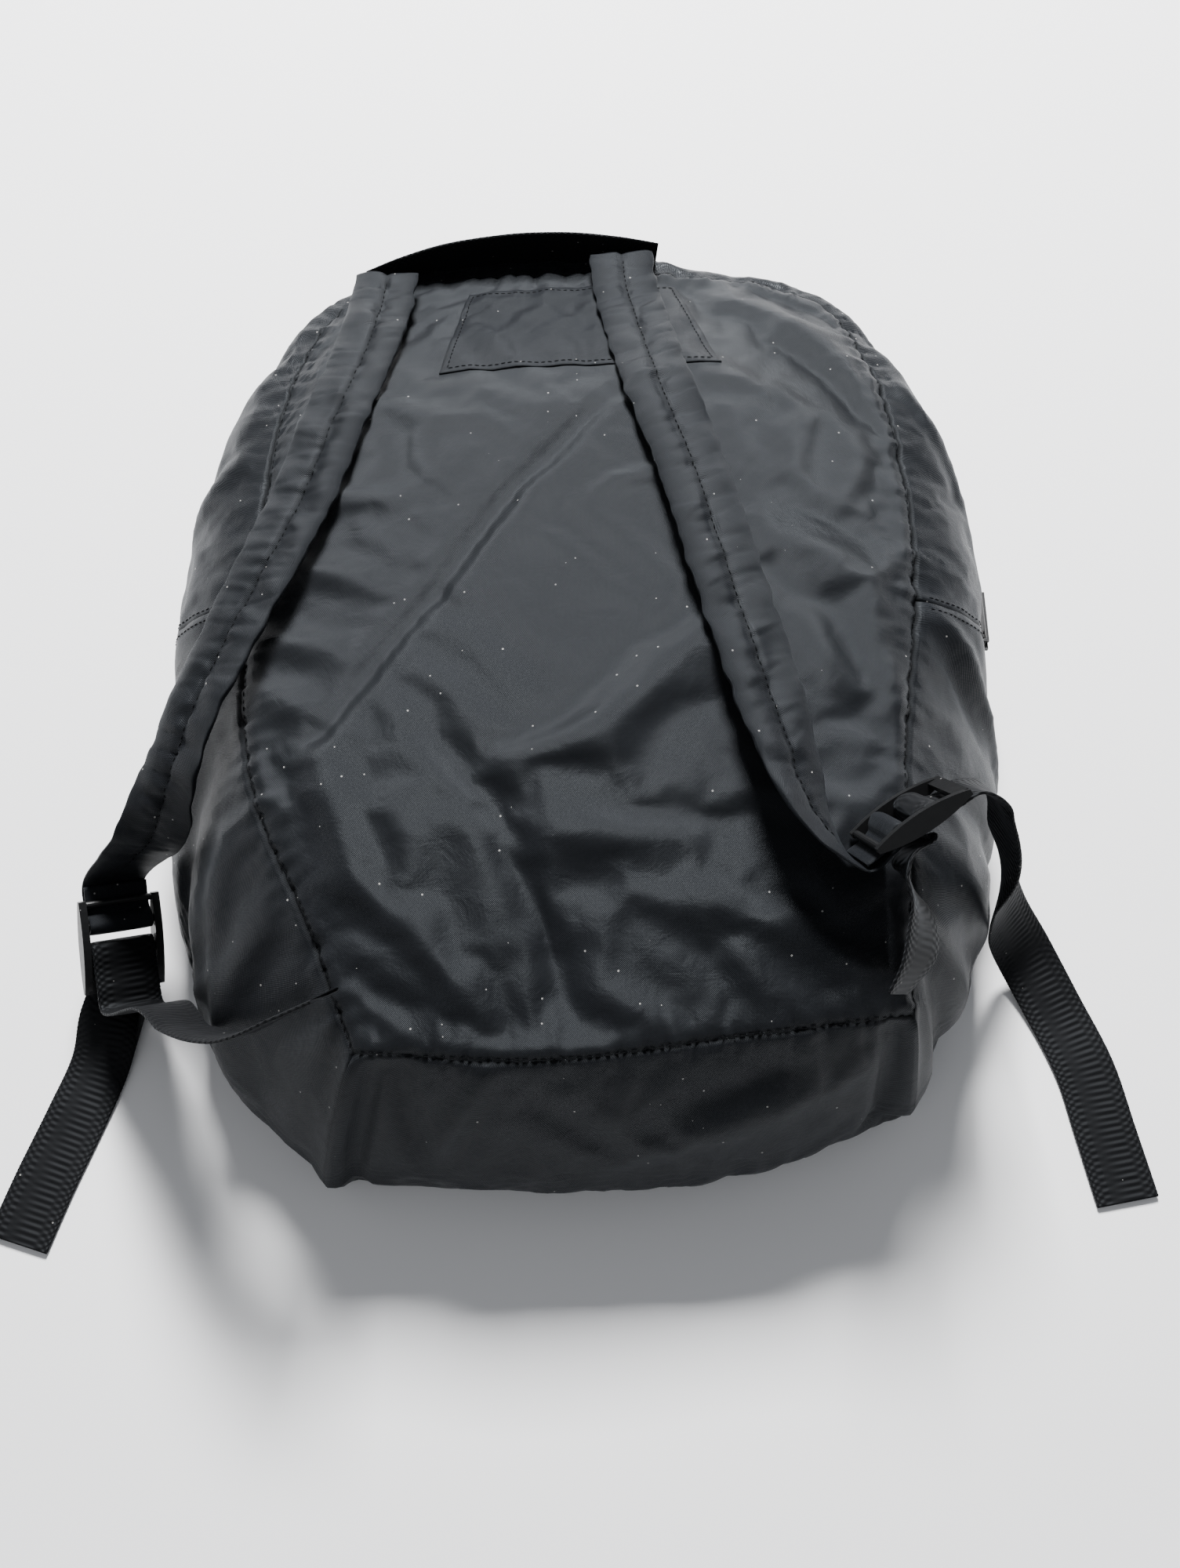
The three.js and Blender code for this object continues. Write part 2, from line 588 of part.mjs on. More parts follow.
const zip = new THREE.Group();
const coilOut = ZIP_RADIUS + COIL_THICK - TAPE_THICK;
const tapeOut = ZIP_RADIUS;
const coilCut = (2 * stopAngle) / (ZIP_FAR - ZIP_END);
const rows = [["rear", 1], ["front", -1]];
for (const [which, side] of rows) {
  const row = [side * (COIL_GAP / 2), side * ROW_EDGE].sort((a, b) => a - b);
  const tape = [side * (ROW_EDGE + GAP), side * TAPE_EDGE].sort((a, b) => a - b);
  zip.add(archStrip(`zip_coil_${which}`, ...row, coilOut, COIL_THICK, coilPlastic(), coilCut));
  zip.add(archStrip(`zip_tape_${which}`, ...tape, tapeOut, TAPE_THICK, nylon()));
}
const sliderRest = ZIP_END + 2 * stopAngle + (SLIDER_LENGTH / 2 + GAP) / ZIP_RADIUS;
zip.add(
  zipStop("zip_stop_right", ZIP_END + stopAngle),
  zipStop("zip_stop_left", ZIP_FAR - stopAngle),
  zipSlider(sliderRest),
  zipPull(sliderRest),
);

const carrying = new THREE.Group();
carrying.add(
  grabHandle(), leftStrap(), rightStrap(),
  ladderLock("left_ladder_lock", locks.left), ladderLock("right_ladder_lock", locks.right),
  leftWebbing(), rightWebbing(),
);

const bag = new THREE.Group();
bag.name = "skate_bag";
bag.add(shell, zip, carrying);

// Centre the whole bag over the origin, standing on the floor.
bag.updateMatrixWorld(true);
const bounds = new THREE.Box3().setFromObject(bag, true);
const middle = bounds.getCenter(new THREE.Vector3());
bag.position.set(-middle.x, -middle.y, -bounds.min.z);

export default bag;
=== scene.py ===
# %% [markdown]
# # A nylon skate bag lying on its front
# The bag is thin unpadded cloth sewn into a shell, so its look is all in the folds, the puckered seams
# and the webbing. The frame gives the bodies and the CAD pieces; everything below is placed from them.

# %% load the frame
import math

import bmesh
import bpy
import numpy as np
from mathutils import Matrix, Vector, noise
from mathutils.bvhtree import BVHTree


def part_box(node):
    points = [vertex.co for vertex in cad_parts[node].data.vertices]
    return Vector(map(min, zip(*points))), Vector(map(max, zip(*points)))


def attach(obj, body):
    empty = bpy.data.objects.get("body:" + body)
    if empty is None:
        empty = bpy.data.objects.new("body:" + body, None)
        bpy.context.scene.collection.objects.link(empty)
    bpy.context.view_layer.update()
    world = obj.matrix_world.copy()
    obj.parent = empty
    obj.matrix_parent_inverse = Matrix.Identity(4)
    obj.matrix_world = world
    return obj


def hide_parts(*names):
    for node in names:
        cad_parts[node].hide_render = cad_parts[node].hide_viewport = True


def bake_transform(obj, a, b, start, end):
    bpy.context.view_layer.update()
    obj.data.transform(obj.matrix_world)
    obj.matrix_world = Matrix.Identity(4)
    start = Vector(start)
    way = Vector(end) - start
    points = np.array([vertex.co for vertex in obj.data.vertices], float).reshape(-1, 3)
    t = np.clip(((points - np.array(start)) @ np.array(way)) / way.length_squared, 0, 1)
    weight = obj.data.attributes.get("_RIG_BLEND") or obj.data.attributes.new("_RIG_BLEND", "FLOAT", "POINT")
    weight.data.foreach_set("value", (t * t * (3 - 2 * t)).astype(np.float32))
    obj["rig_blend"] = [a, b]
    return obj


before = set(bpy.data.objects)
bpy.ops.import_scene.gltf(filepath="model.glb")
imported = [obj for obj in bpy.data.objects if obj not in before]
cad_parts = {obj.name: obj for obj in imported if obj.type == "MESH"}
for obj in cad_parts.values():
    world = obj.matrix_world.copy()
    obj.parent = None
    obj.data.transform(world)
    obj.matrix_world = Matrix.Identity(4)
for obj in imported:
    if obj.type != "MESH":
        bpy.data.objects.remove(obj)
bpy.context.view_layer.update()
scene = bpy.context.scene

# %% [markdown]
# The panels are drawn on the bag's own axes, in millimetres. The front zip strip shows where those axes lie
# in the frame: its right end is 164 mm from the bag's own origin and its top end is 197 mm from it.

# %% where the bag's axes are
MM = 0.001
STRIP_RIGHT, STRIP_TOP = 0.164, 0.197  # the front zip strip's right and top ends, from the bag's own origin
strip_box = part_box("zip_gusset_front")
X0 = float(strip_box[1][0]) - STRIP_RIGHT
Y0 = float(strip_box[1][1]) - STRIP_TOP


def at(points):
    """Points of the bag in millimetres as points of the frame in metres."""
    return np.asarray(points, float) * MM + np.array([X0, Y0, 0.0])


def smooth(low, high, value):
    t = np.clip((np.asarray(value, float) - low) / (high - low), 0, 1)
    return t * t * (3 - 2 * t)


def unit(v):
    v = np.asarray(v, float)
    return v / np.maximum(1e-9, np.linalg.norm(v, axis=-1, keepdims=True))


print("bag's own origin in the frame:", round(X0, 4), round(Y0, 4))

# %% [markdown]
# Every seam, strap and band follows a smooth curve through a few chosen points. A centripetal Catmull-Rom
# curve passes through each of them without the loops that a plain spline makes at close points.

# %% curves through points
def dense(points, per=24):
    p = np.array(points, float)
    p = np.vstack([2 * p[0] - p[1], p, 2 * p[-1] - p[-2]])
    out = []
    for i in range(1, len(p) - 2):
        a, b, c, d = p[i - 1 : i + 3]
        t0 = 0.0
        t1 = t0 + max(1e-6, np.linalg.norm((b - a)[:3])) ** 0.5
        t2 = t1 + max(1e-6, np.linalg.norm((c - b)[:3])) ** 0.5
        t3 = t2 + max(1e-6, np.linalg.norm((d - c)[:3])) ** 0.5
        for t in np.linspace(t1, t2, per, endpoint=False):
            ab = (t1 - t) / (t1 - t0) * a + (t - t0) / (t1 - t0) * b
            bc = (t2 - t) / (t2 - t1) * b + (t - t1) / (t2 - t1) * c
            cd = (t3 - t) / (t3 - t2) * c + (t - t2) / (t3 - t2) * d
            abc = (t2 - t) / (t2 - t0) * ab + (t - t0) / (t2 - t0) * bc
            bcd = (t3 - t) / (t3 - t1) * bc + (t - t1) / (t3 - t1) * cd
            out.append((t2 - t) / (t2 - t1) * abc + (t - t1) / (t2 - t1) * bcd)
    out.append(p[-2])
    return np.array(out)


def evenly(points, count, dims=3):
    """count + 1 points at even spacing along the curve; the first dims columns measure its length."""
    line = dense(points)
    step = np.linalg.norm(np.diff(line[:, :dims], axis=0), axis=1)
    run = np.concatenate([[0], np.cumsum(step)])
    want = np.linspace(0, run[-1], count + 1)
    return np.stack([np.interp(want, run, line[:, k]) for k in range(line.shape[1])], axis=1)


def length_of(points):
    return float(np.linalg.norm(np.diff(np.asarray(points)[:, :3], axis=0), axis=1).sum())


print("a quarter circle through 3 points is %.2f long" % length_of(dense([(1, 0), (0.707, 0.707), (0, 1)])))

# %% [markdown]
# ## Camera, floor and light
# The bag is seen from its bottom end, from above at arm's length. A standing person would look down on it like
# this, so the camera is tilted only a little from straight down.

# %% camera
eye = bpy.data.objects.new("camera", bpy.data.cameras.new("camera"))
scene.collection.objects.link(eye)
eye.location = (X0, Y0 - 0.294, 0.6006)
eye.rotation_euler = (math.radians(24.5), 0, 0)
eye.data.sensor_fit = "VERTICAL"
eye.data.sensor_height = 36
eye.data.lens = 34.2
scene.camera = eye
print("camera %.2f m above the floor" % eye.location.z)

# %% [markdown]
# A pale sweep of floor, a soft light beyond the top end of the bag, a faint one in front and a weak pale sky.
# Black nylon shows its folds only through what it mirrors, so where a light stands does more than its power:
# low beyond the top end, it makes every crease facing it shine and leaves the bottom end dark.

# %% floor and lights
def grid_mesh(across, along):
    """A flat bmesh grid; each vertex keeps its place on it in x and y, from 0 to 1."""
    bm = bmesh.new()
    bmesh.ops.create_grid(bm, x_segments=across, y_segments=along, size=0.5)
    bmesh.ops.translate(bm, verts=bm.verts, vec=(0.5, 0.5, 0))
    return bm


def new_object(name, bm, material=None):
    mesh = bpy.data.meshes.new(name)
    bm.to_mesh(mesh)
    bm.free()
    made = bpy.data.objects.new(name, mesh)
    scene.collection.objects.link(made)
    if material is not None:
        mesh.materials.append(material)
    return made


LIT_POINT = Vector((0, 0, 0.05))  # inside the bag


def area_light(name, place, side, watts):
    lamp = bpy.data.lights.new(name, "AREA")
    lamp.shape = "RECTANGLE"
    lamp.size = lamp.size_y = side
    lamp.energy = watts
    made = bpy.data.objects.new(name, lamp)
    scene.collection.objects.link(made)
    made.location = place
    made.rotation_euler = (LIT_POINT - Vector(place)).to_track_quat("-Z", "Y").to_euler()


area_light("over_the_top_end", (0.0, 1.3, 1.45), 0.5, 145)
area_light("fill_from_the_front", (-0.5, -1.2, 1.6), 1.2, 3)
world = bpy.data.worlds.new("pale_sky")
world.use_nodes = True
sky = world.node_tree.nodes["Background"]
sky.inputs["Color"].default_value = (0.92, 0.95, 1.0, 1)
sky.inputs["Strength"].default_value = 0.28
scene.world = world

FLOOR_SIDE = 8
floor_mesh = grid_mesh(8, 8)
for v in floor_mesh.verts:
    v.co = Vector(((v.co.x - 0.5) * FLOOR_SIDE, (v.co.y - 0.5) * FLOOR_SIDE, -0.0002))
floor_paint = bpy.data.materials.new("floor_paint")
floor_paint.use_nodes = True
paint = floor_paint.node_tree.nodes["Principled BSDF"]
paint.inputs["Base Color"].default_value = (0.93, 0.93, 0.94, 1)
paint.inputs["Roughness"].default_value = 0.9
floor_sweep = new_object("floor_sweep", floor_mesh, floor_paint)

# %% [markdown]
# ## Fabrics and plastics
# Nylon here is a fine plain weave with a bluish sheen; the webbing is coarse and matt; the locks are
# moulded plastic with rubbed edges. The effects they share are node groups, each built once with named
# sockets, so a change to one shows in every material. Two small helpers write the repeating parts.

# %% helpers for shader nodes
def node_group(name, inputs, outputs):
    group = bpy.data.node_groups.new(name, "ShaderNodeTree")
    for label, kind, value in inputs:
        socket = group.interface.new_socket(name=label, in_out="INPUT", socket_type=kind)
        if value is not None:
            socket.default_value = value
    for label, kind in outputs:
        group.interface.new_socket(name=label, in_out="OUTPUT", socket_type=kind)
    enter = group.nodes.new("NodeGroupInput")
    leave = group.nodes.new("NodeGroupOutput")
    return group, enter, leave


def math_node(tree, operation, a, b=None, clamp=False):
    made = tree.nodes.new("ShaderNodeMath")
    made.operation = operation
    made.use_clamp = clamp
    for socket, value in zip(made.inputs, (a, b)):
        if value is None:
            continue
        if isinstance(value, (int, float)):
            socket.default_value = value
        else:
            tree.links.new(value, socket)
    return made.outputs[0]


def noise_node(tree, vector, scale, detail):
    made = tree.nodes.new("ShaderNodeTexNoise")
    tree.links.new(vector, made.inputs["Vector"])
    if isinstance(scale, (int, float)):
        made.inputs["Scale"].default_value = scale
    else:
        tree.links.new(scale, made.inputs["Scale"])
    made.inputs["Detail"].default_value = detail
    return made


print("helpers: a group, a sum and a noise")

# %% [markdown]
# The weave is two crossed waves along the cloth's own UV directions: real threads pass over and under each
# other, and the product of two sines rises and falls in the same chequered way. Crumple is soft noise at two
# sizes. Lint is a cell pattern of which only a few cells hold a small round speck.

# %% weave, crumple and lint
def make_weave():
    """Threads along U and V: Height is the woven relief, Thread is a mask that differs from thread to thread."""
    tree, enter, leave = node_group(
        "plain_weave",
        [("Vector", "NodeSocketVector", None), ("Threads per metre", "NodeSocketFloat", 1400.0),
         ("Across share", "NodeSocketFloat", 1.0)],
        [("Height", "NodeSocketFloat"), ("Thread", "NodeSocketFloat")],
    )
    parts = tree.nodes.new("ShaderNodeSeparateXYZ")
    tree.links.new(enter.outputs["Vector"], parts.inputs[0])
    turns = math_node(tree, "MULTIPLY", enter.outputs["Threads per metre"], math.tau)
    turns_across = math_node(tree, "MULTIPLY", turns, enter.outputs["Across share"])
    along = math_node(tree, "SINE", math_node(tree, "MULTIPLY", parts.outputs[0], turns))
    across = math_node(tree, "SINE", math_node(tree, "MULTIPLY", parts.outputs[1], turns_across))
    over = math_node(tree, "MULTIPLY", along, across)
    relief = math_node(tree, "ADD", math_node(tree, "MULTIPLY", over, 0.5), 0.5)
    tree.links.new(relief, leave.inputs["Height"])
    spots = noise_node(tree, enter.outputs["Vector"], 900, 2)
    tree.links.new(spots.outputs["Fac"], leave.inputs["Thread"])
    return tree


def make_crumple():
    """Soft cloth unevenness: Height at the given scale, Patches far broader."""
    tree, enter, leave = node_group(
        "crumple",
        [("Vector", "NodeSocketVector", None), ("Scale", "NodeSocketFloat", 60.0)],
        [("Height", "NodeSocketFloat"), ("Patches", "NodeSocketFloat")],
    )
    fine = noise_node(tree, enter.outputs["Vector"], enter.outputs["Scale"], 4)
    fine.inputs["Roughness"].default_value = 0.55
    fine.inputs["Distortion"].default_value = 0.6
    tree.links.new(fine.outputs["Fac"], leave.inputs["Height"])
    broad = noise_node(tree, enter.outputs["Vector"], 14, 2)
    tree.links.new(broad.outputs["Fac"], leave.inputs["Patches"])
    return tree


def make_lint():
    """A few tiny pale specks: Amount on a speck, 0 elsewhere."""
    tree, enter, leave = node_group(
        "lint",
        [("Vector", "NodeSocketVector", None), ("Scale", "NodeSocketFloat", 260.0),
         ("Amount", "NodeSocketFloat", 0.5)],
        [("Specks", "NodeSocketFloat")],
    )
    cells = tree.nodes.new("ShaderNodeTexVoronoi")
    tree.links.new(enter.outputs["Vector"], cells.inputs["Vector"])
    tree.links.new(enter.outputs["Scale"], cells.inputs["Scale"])
    near = math_node(tree, "LESS_THAN", cells.outputs["Distance"], 0.1)
    pick = tree.nodes.new("ShaderNodeSeparateColor")
    tree.links.new(cells.outputs["Color"], pick.inputs[0])
    chosen = math_node(tree, "GREATER_THAN", pick.outputs[0], 0.88)
    speck = math_node(tree, "MULTIPLY", near, chosen)
    tree.links.new(math_node(tree, "MULTIPLY", speck, enter.outputs["Amount"]), leave.inputs["Specks"])
    return tree


weave_group, crumple_group, lint_group = make_weave(), make_crumple(), make_lint()
print("node groups:", [g.name for g in bpy.data.node_groups])

# %% [markdown]
# A cloth material mixes two shades by thread and by soft patches, paints shade into its colour along the seams
# and the straps' stitch line, and adds lint. Its relief is crumple first, with the weave on top of it. A number
# that is the same all over, such as the sheen, sits on the shader's own socket.

# %% helpers for materials
RIPPLES = 90.0  # crumple cells per metre in cloth


def shader_of(name):
    made = bpy.data.materials.new(name)
    made.use_nodes = True
    return made, made.node_tree, made.node_tree.nodes["Principled BSDF"]


def placed(tree, group, vector, values):
    """A node group in a material, with a vector plugged in and its own values."""
    made = tree.nodes.new("ShaderNodeGroup")
    made.node_tree = group
    tree.links.new(vector, made.inputs["Vector"])
    for label, value in values.items():
        made.inputs[label].default_value = value
    return made


def attribute(tree, name):
    made = tree.nodes.new("ShaderNodeAttribute")
    made.attribute_name = name
    return made.outputs["Fac"]


def mixed(tree, share, first, second):
    """A colour that goes from first to second by share. Each is a plain colour or another node's colour."""
    made = tree.nodes.new("ShaderNodeMix")
    made.data_type = "RGBA"
    tree.links.new(share, made.inputs["Factor"])
    for label, colour in (("A", first), ("B", second)):
        if isinstance(colour, tuple):
            made.inputs[label].default_value = (*colour, 1)
        else:
            tree.links.new(colour, made.inputs[label])
    return made.outputs["Result"]


def bumped(tree, height, distance, below=None):
    made = tree.nodes.new("ShaderNodeBump")
    made.inputs["Distance"].default_value = distance
    made.inputs["Strength"].default_value = 1
    tree.links.new(height, made.inputs["Height"])
    if below is not None:
        tree.links.new(below, made.inputs["Normal"])
    return made.outputs[0]


print("helpers: a group in place, an attribute, a mixed colour and a bump")

# %% [markdown]
# Nylon taffeta is woven of filaments so fine that its threads hardly show, but they give it a satin gloss with
# a cold tint. The straps are the same cloth, rubbed duller by wear. Webbing and zip tape have coarse threads.
# The sewing thread is dark, and the shade of the dent it lies in is painted into its colour too, so it is the darkest.

# %% cloth materials
def cloth_material(name, dark, light, roughness, sheen, threads, across=1.0, relief=0.00012, ripple=0.0005,
                   specks=0.6, gloss=0.17):
    made, tree, shader = shader_of(name)
    uv = tree.nodes.new("ShaderNodeUVMap")
    uv.uv_map = "cloth"
    place = tree.nodes.new("ShaderNodeTexCoord").outputs["Object"]
    weave = placed(tree, weave_group, uv.outputs[0], {"Threads per metre": threads, "Across share": across})
    crumple = placed(tree, crumple_group, place, {"Scale": RIPPLES})
    lint = placed(tree, lint_group, place, {"Amount": specks})
    shade = math_node(tree, "ADD", math_node(tree, "MULTIPLY", weave.outputs["Thread"], 0.5),
                      math_node(tree, "MULTIPLY", crumple.outputs["Patches"], 0.5))
    ramp = tree.nodes.new("ShaderNodeValToRGB")
    for stop, position, colour in zip(ramp.color_ramp.elements, (0.32, 0.68), (dark, light)):
        stop.position = position
        stop.color = (*colour, 1)
    tree.links.new(shade, ramp.inputs[0])
    # painted shade: along the seams and the straps' stitch line the colour goes near black and the gloss duller,
    # standing in for the shade in their grooves
    painted_shade_mask = attribute(tree, "painted_seam_shade")
    colour_with_painted_shade = mixed(tree, painted_shade_mask, ramp.outputs[0], (0.0008, 0.0008, 0.001))
    dusty = mixed(tree, lint.outputs["Specks"], colour_with_painted_shade, (0.45, 0.44, 0.42))
    tree.links.new(dusty, shader.inputs["Base Color"])
    rough = math_node(tree, "ADD", math_node(tree, "MULTIPLY", crumple.outputs["Patches"], 0.16), roughness - 0.08)
    rough = math_node(tree, "ADD", rough, math_node(tree, "MULTIPLY", painted_shade_mask, 0.5), True)
    tree.links.new(rough, shader.inputs["Roughness"])
    shader.inputs["Sheen Weight"].default_value = sheen
    shader.inputs["Sheen Roughness"].default_value = 0.45
    shader.inputs["Sheen Tint"].default_value = (0.82, 0.9, 1.0, 1)
    shader.inputs["Specular IOR Level"].default_value = gloss
    shader.inputs["Specular Tint"].default_value = (0.86, 0.93, 1.0, 1)
    soft = bumped(tree, crumple.outputs["Height"], ripple)
    tree.links.new(bumped(tree, weave.outputs["Height"], relief, soft), shader.inputs["Normal"])
    return made


nylon = cloth_material("nylon_cloth", (0.0042, 0.0047, 0.0058), (0.0074, 0.0081, 0.0099), 0.43, 0.03, 1500,
                       gloss=0.19)
strap_nylon = cloth_material("strap_nylon", (0.0044, 0.0049, 0.006), (0.0078, 0.0085, 0.0104), 0.46, 0.03, 1500,
                             gloss=0.13)
webbing_cloth = cloth_material("webbing_cloth", (0.003, 0.003, 0.0033), (0.0068, 0.0068, 0.0074), 0.6, 0.03, 380,
                               across=0.5, relief=0.0003, ripple=0.0001, specks=0.4, gloss=0.1)
tape_cloth = cloth_material("zip_tape_cloth", (0.005, 0.005, 0.0055), (0.009, 0.009, 0.01), 0.7, 0.05, 900,
                            relief=0.0002, ripple=0.0001, specks=0.3)
# the thread's colour is dark thread with the shade of its dent painted in
thread = cloth_material("sewing_thread", (0.001, 0.001, 0.0012), (0.0022, 0.0022, 0.0026), 0.6, 0.02, 2600,
                        relief=0.00008, ripple=0.00005, specks=0.15, gloss=0.06)
print("cloths:", [m.name for m in (nylon, strap_nylon, webbing_cloth, tape_cloth, thread)])

# %% [markdown]
# The locks' plastic is nearly black and satin, and its sharp edges are rubbed paler. A node could look for
# edges by itself, but only in one renderer, so the rub is an attribute that is painted on the bevelled edges
# when the piece is made. The zip's coil and cast metal share the same recipe.

# %% plastic and metal materials
GRAIN = 420.0  # crumple cells per metre in plastic and metal


def hard_material(name, body, rubbed, roughness, metallic=0.0):
    made, tree, shader = shader_of(name)
    place = tree.nodes.new("ShaderNodeTexCoord").outputs["Object"]
    crumple = placed(tree, crumple_group, place, {"Scale": GRAIN})
    lint = placed(tree, lint_group, place, {"Amount": 0.4})
    uneven = math_node(tree, "ADD", crumple.outputs["Height"], 0.25)
    patchy = math_node(tree, "MULTIPLY", attribute(tree, "rub"), uneven)
    worn = mixed(tree, math_node(tree, "MULTIPLY", patchy, 1.0, True), body, rubbed)
    tree.links.new(mixed(tree, lint.outputs["Specks"], worn, (0.4, 0.4, 0.4)), shader.inputs["Base Color"])
    rough = math_node(tree, "ADD", math_node(tree, "MULTIPLY", crumple.outputs["Height"], 0.2), roughness - 0.1)
    tree.links.new(rough, shader.inputs["Roughness"])
    shader.inputs["Metallic"].default_value = metallic
    shader.inputs["Specular IOR Level"].default_value = 0.3
    tree.links.new(bumped(tree, crumple.outputs["Height"], 0.00006), shader.inputs["Normal"])
    return made


lock_plastic = hard_material("lock_plastic", (0.006, 0.0062, 0.0066), (0.07, 0.07, 0.075), 0.36)
coil_nylon = hard_material("coil_nylon", (0.007, 0.007, 0.008), (0.03, 0.03, 0.032), 0.45)
slider_metal = hard_material("slider_metal", (0.012, 0.012, 0.013), (0.2, 0.2, 0.2), 0.38, metallic=0.3)
print("hard finishes:", [m.name for m in (lock_plastic, coil_nylon, slider_metal)])

# %% [markdown]
# ## The shell
# The cloth between the seams is one closed skin first: a ring of gusset from the floor up to the back seam,
# and the domed back panel inside that seam. Neighbouring panels share their seam's points, so when the skin
# is draped as cloth its seams stay sewn. It is cut into the real panels afterwards. The other way, draping
# each panel alone, would open gaps at every seam.

# %% seams of the back panel
ACROSS, SHOULDER, SIDE = 54, 42, 42  # steps along the bottom seam, a shoulder and a lower side
RING_ROWS, ZIP_LOW, ZIP_HIGH = 26, 8, 13  # rows of gusset, and the rows the zip lies between
ARCH = 2 * SHOULDER + ACROSS
RING = ARCH + 2 * SIDE + ACROSS
ZIP_R, ZIP_X, ZIP_Y = 168, -4, 29  # the zip's arc: its radius and centre
ZIP_ENDS = (-4, 184)  # degrees round that arc
ZIP_Z = (34.0, 56.0)


def back_height(x, y):
    """The dome of the back, which drops off towards the top end and the bottom end."""
    dome = 26 * (1 - (x / 150) ** 2) * (1 - ((y - 15) / 225) ** 2)
    return 92 + dome - 18 * smooth(90, 205, y) - 12 * smooth(70, 175, -y)


def zip_arch(count, radius, z):
    angle = np.radians(np.linspace(*ZIP_ENDS, count + 1))
    return np.stack([ZIP_X + radius * np.cos(angle), ZIP_Y + radius * np.sin(angle), np.full(count + 1, z)], 1)


def closed(lines):
    return np.vstack([line[:-1] for line in lines])


def seam_ring():
    top = [(129, 15), (130, 60), (126, 107), (119, 145), (106, 178), (86, 190), (50, 196), (0, 198),
           (-55, 196), (-92, 190), (-112, 178), (-124, 145), (-130, 107), (-133, 60), (-134, 15)]
    left = [(-134, 15), (-133, -34), (-123, -76), (-103, -116), (-84, -164)]
    bottom = [(-84, -164), (-15, -167), (50, -159), (116, -150)]
    right = [(116, -150), (117, -105), (118, -61), (125, -10), (129, 15)]
    flat = closed([evenly(s, n, 2) for s, n in zip((top, left, bottom, right), (ARCH, SIDE, ACROSS, SIDE))])
    return np.column_stack([flat, back_height(flat[:, 0], flat[:, 1]) - 1.5])


seam = seam_ring()
print("seam of the back panel: %.0f mm round" % length_of(np.vstack([seam, seam[:1]])))

# %% [markdown]
# The gusset bulges below the back seam and turns in again at the floor. Two more rings hold that: its fullest
# line, half way down, and the line where it meets the floor. Round the top both are arcs, because a zip can
# only run along a curve that bends evenly.

# %% fullest line and floor line of the gusset
def middle_ring():
    left = [(-172, 17, 45), (-171, -40, 45), (-163, -95, 43), (-142, -148, 40), (-98, -192, 34)]
    bottom = [(-98, -192, 34), (-12, -196, 42), (62, -190, 42), (122, -169, 36)]
    right = [(122, -169, 36), (151, -112, 42), (165, -45, 46), (164, 17, 45)]
    return closed([zip_arch(ARCH, ZIP_R, 45.0), evenly(left, SIDE), evenly(bottom, ACROSS), evenly(right, SIDE)])


def foot_ring():
    z = 1.6
    ends = zip_arch(1, ZIP_R - 8, z)
    left = [tuple(ends[1]), (-163, -40, z), (-154, -95, z), (-134, -146, z), (-98, -190, z)]
    bottom = [(-98, -190, z), (-12, -194, z), (62, -187, z), (121, -165, z)]
    right = [(121, -165, z), (142, -110, z), (153, -45, z), tuple(ends[0])]
    return closed([zip_arch(ARCH, ZIP_R - 8, z), evenly(left, SIDE), evenly(bottom, ACROSS), evenly(right, SIDE)])


middle, foot = middle_ring(), foot_ring()
print("fullest line and floor line: %.0f and %.0f mm round" % (length_of(middle), length_of(foot)))

# %% [markdown]
# Any point of the gusset comes from a step round the bag and a row up it. A plain stretch is one curve through
# the three rings. Beside the zip it is three strips, and the two kinds melt together over nine steps. The back
# panel fills its seam like a soap film: each point is a blend of the four sides around it.

# %% points of the gusset and of the back panel
def curve_through(a, m, b, v):
    """From a to b by v, passing m half way."""
    pull = 2 * m - 0.5 * a - 0.5 * b
    return (1 - v) ** 2 * a + 2 * v * (1 - v) * pull + v * v * b


def beside_zip(k, row):
    """A front strip up to the zip, the zip itself, and a strip that swells up to the back seam."""
    low, high = middle[k].copy(), middle[k].copy()
    low[2], high[2] = ZIP_Z
    if row <= ZIP_LOW:
        return foot[k] + (low - foot[k]) * row / ZIP_LOW
    if row <= ZIP_HIGH:
        return low + (high - low) * (row - ZIP_LOW) / (ZIP_HIGH - ZIP_LOW)
    out = unit(np.array([seam[k][0] - ZIP_X, seam[k][1] - ZIP_Y, 0.0]))
    share = min(k, ARCH) / ARCH
    swell = 8 + 7 * math.sin(2 * math.pi * share) ** 2 + 7 * math.exp(-(((share - 0.54) / 0.13) ** 2))
    belly = (high + seam[k]) / 2 + out * swell + np.array([0, 0, 4.0])
    return curve_through(high, belly, seam[k], (row - ZIP_HIGH) / (RING_ROWS - ZIP_HIGH))


def gusset_point(k, row):
    k = k % RING
    if k <= ARCH:
        return beside_zip(k, row)
    plain = curve_through(foot[k], middle[k], seam[k], row / RING_ROWS)
    near = min(k - ARCH, RING - k)
    end = ARCH if k - ARCH < RING - k else 0
    share = float(smooth(0, 9, 9 - near))
    end_plain = curve_through(foot[end], middle[end], seam[end], row / RING_ROWS)
    return plain + (beside_zip(end, row) - end_plain) * share


def inside_rim(rim, u, v):
    """A four-sided patch inside a rim that starts at the zip's right end and runs anticlockwise."""
    n, m = ACROSS, SHOULDER + SIDE
    i, j = round(u * n), round(v * m)
    right = lambda j: rim[(RING - SIDE + j) % RING]
    left = lambda j: rim[ARCH + SIDE - j]
    top = lambda i: rim[SHOULDER + ACROSS - i]
    low = lambda i: rim[ARCH + SIDE + i]
    p = (1 - v) * low(i) + v * top(i) + (1 - u) * left(j) + u * right(j)
    return p - (1 - u) * (1 - v) * low(0) - u * (1 - v) * low(n) - (1 - u) * v * top(0) - u * v * top(n)


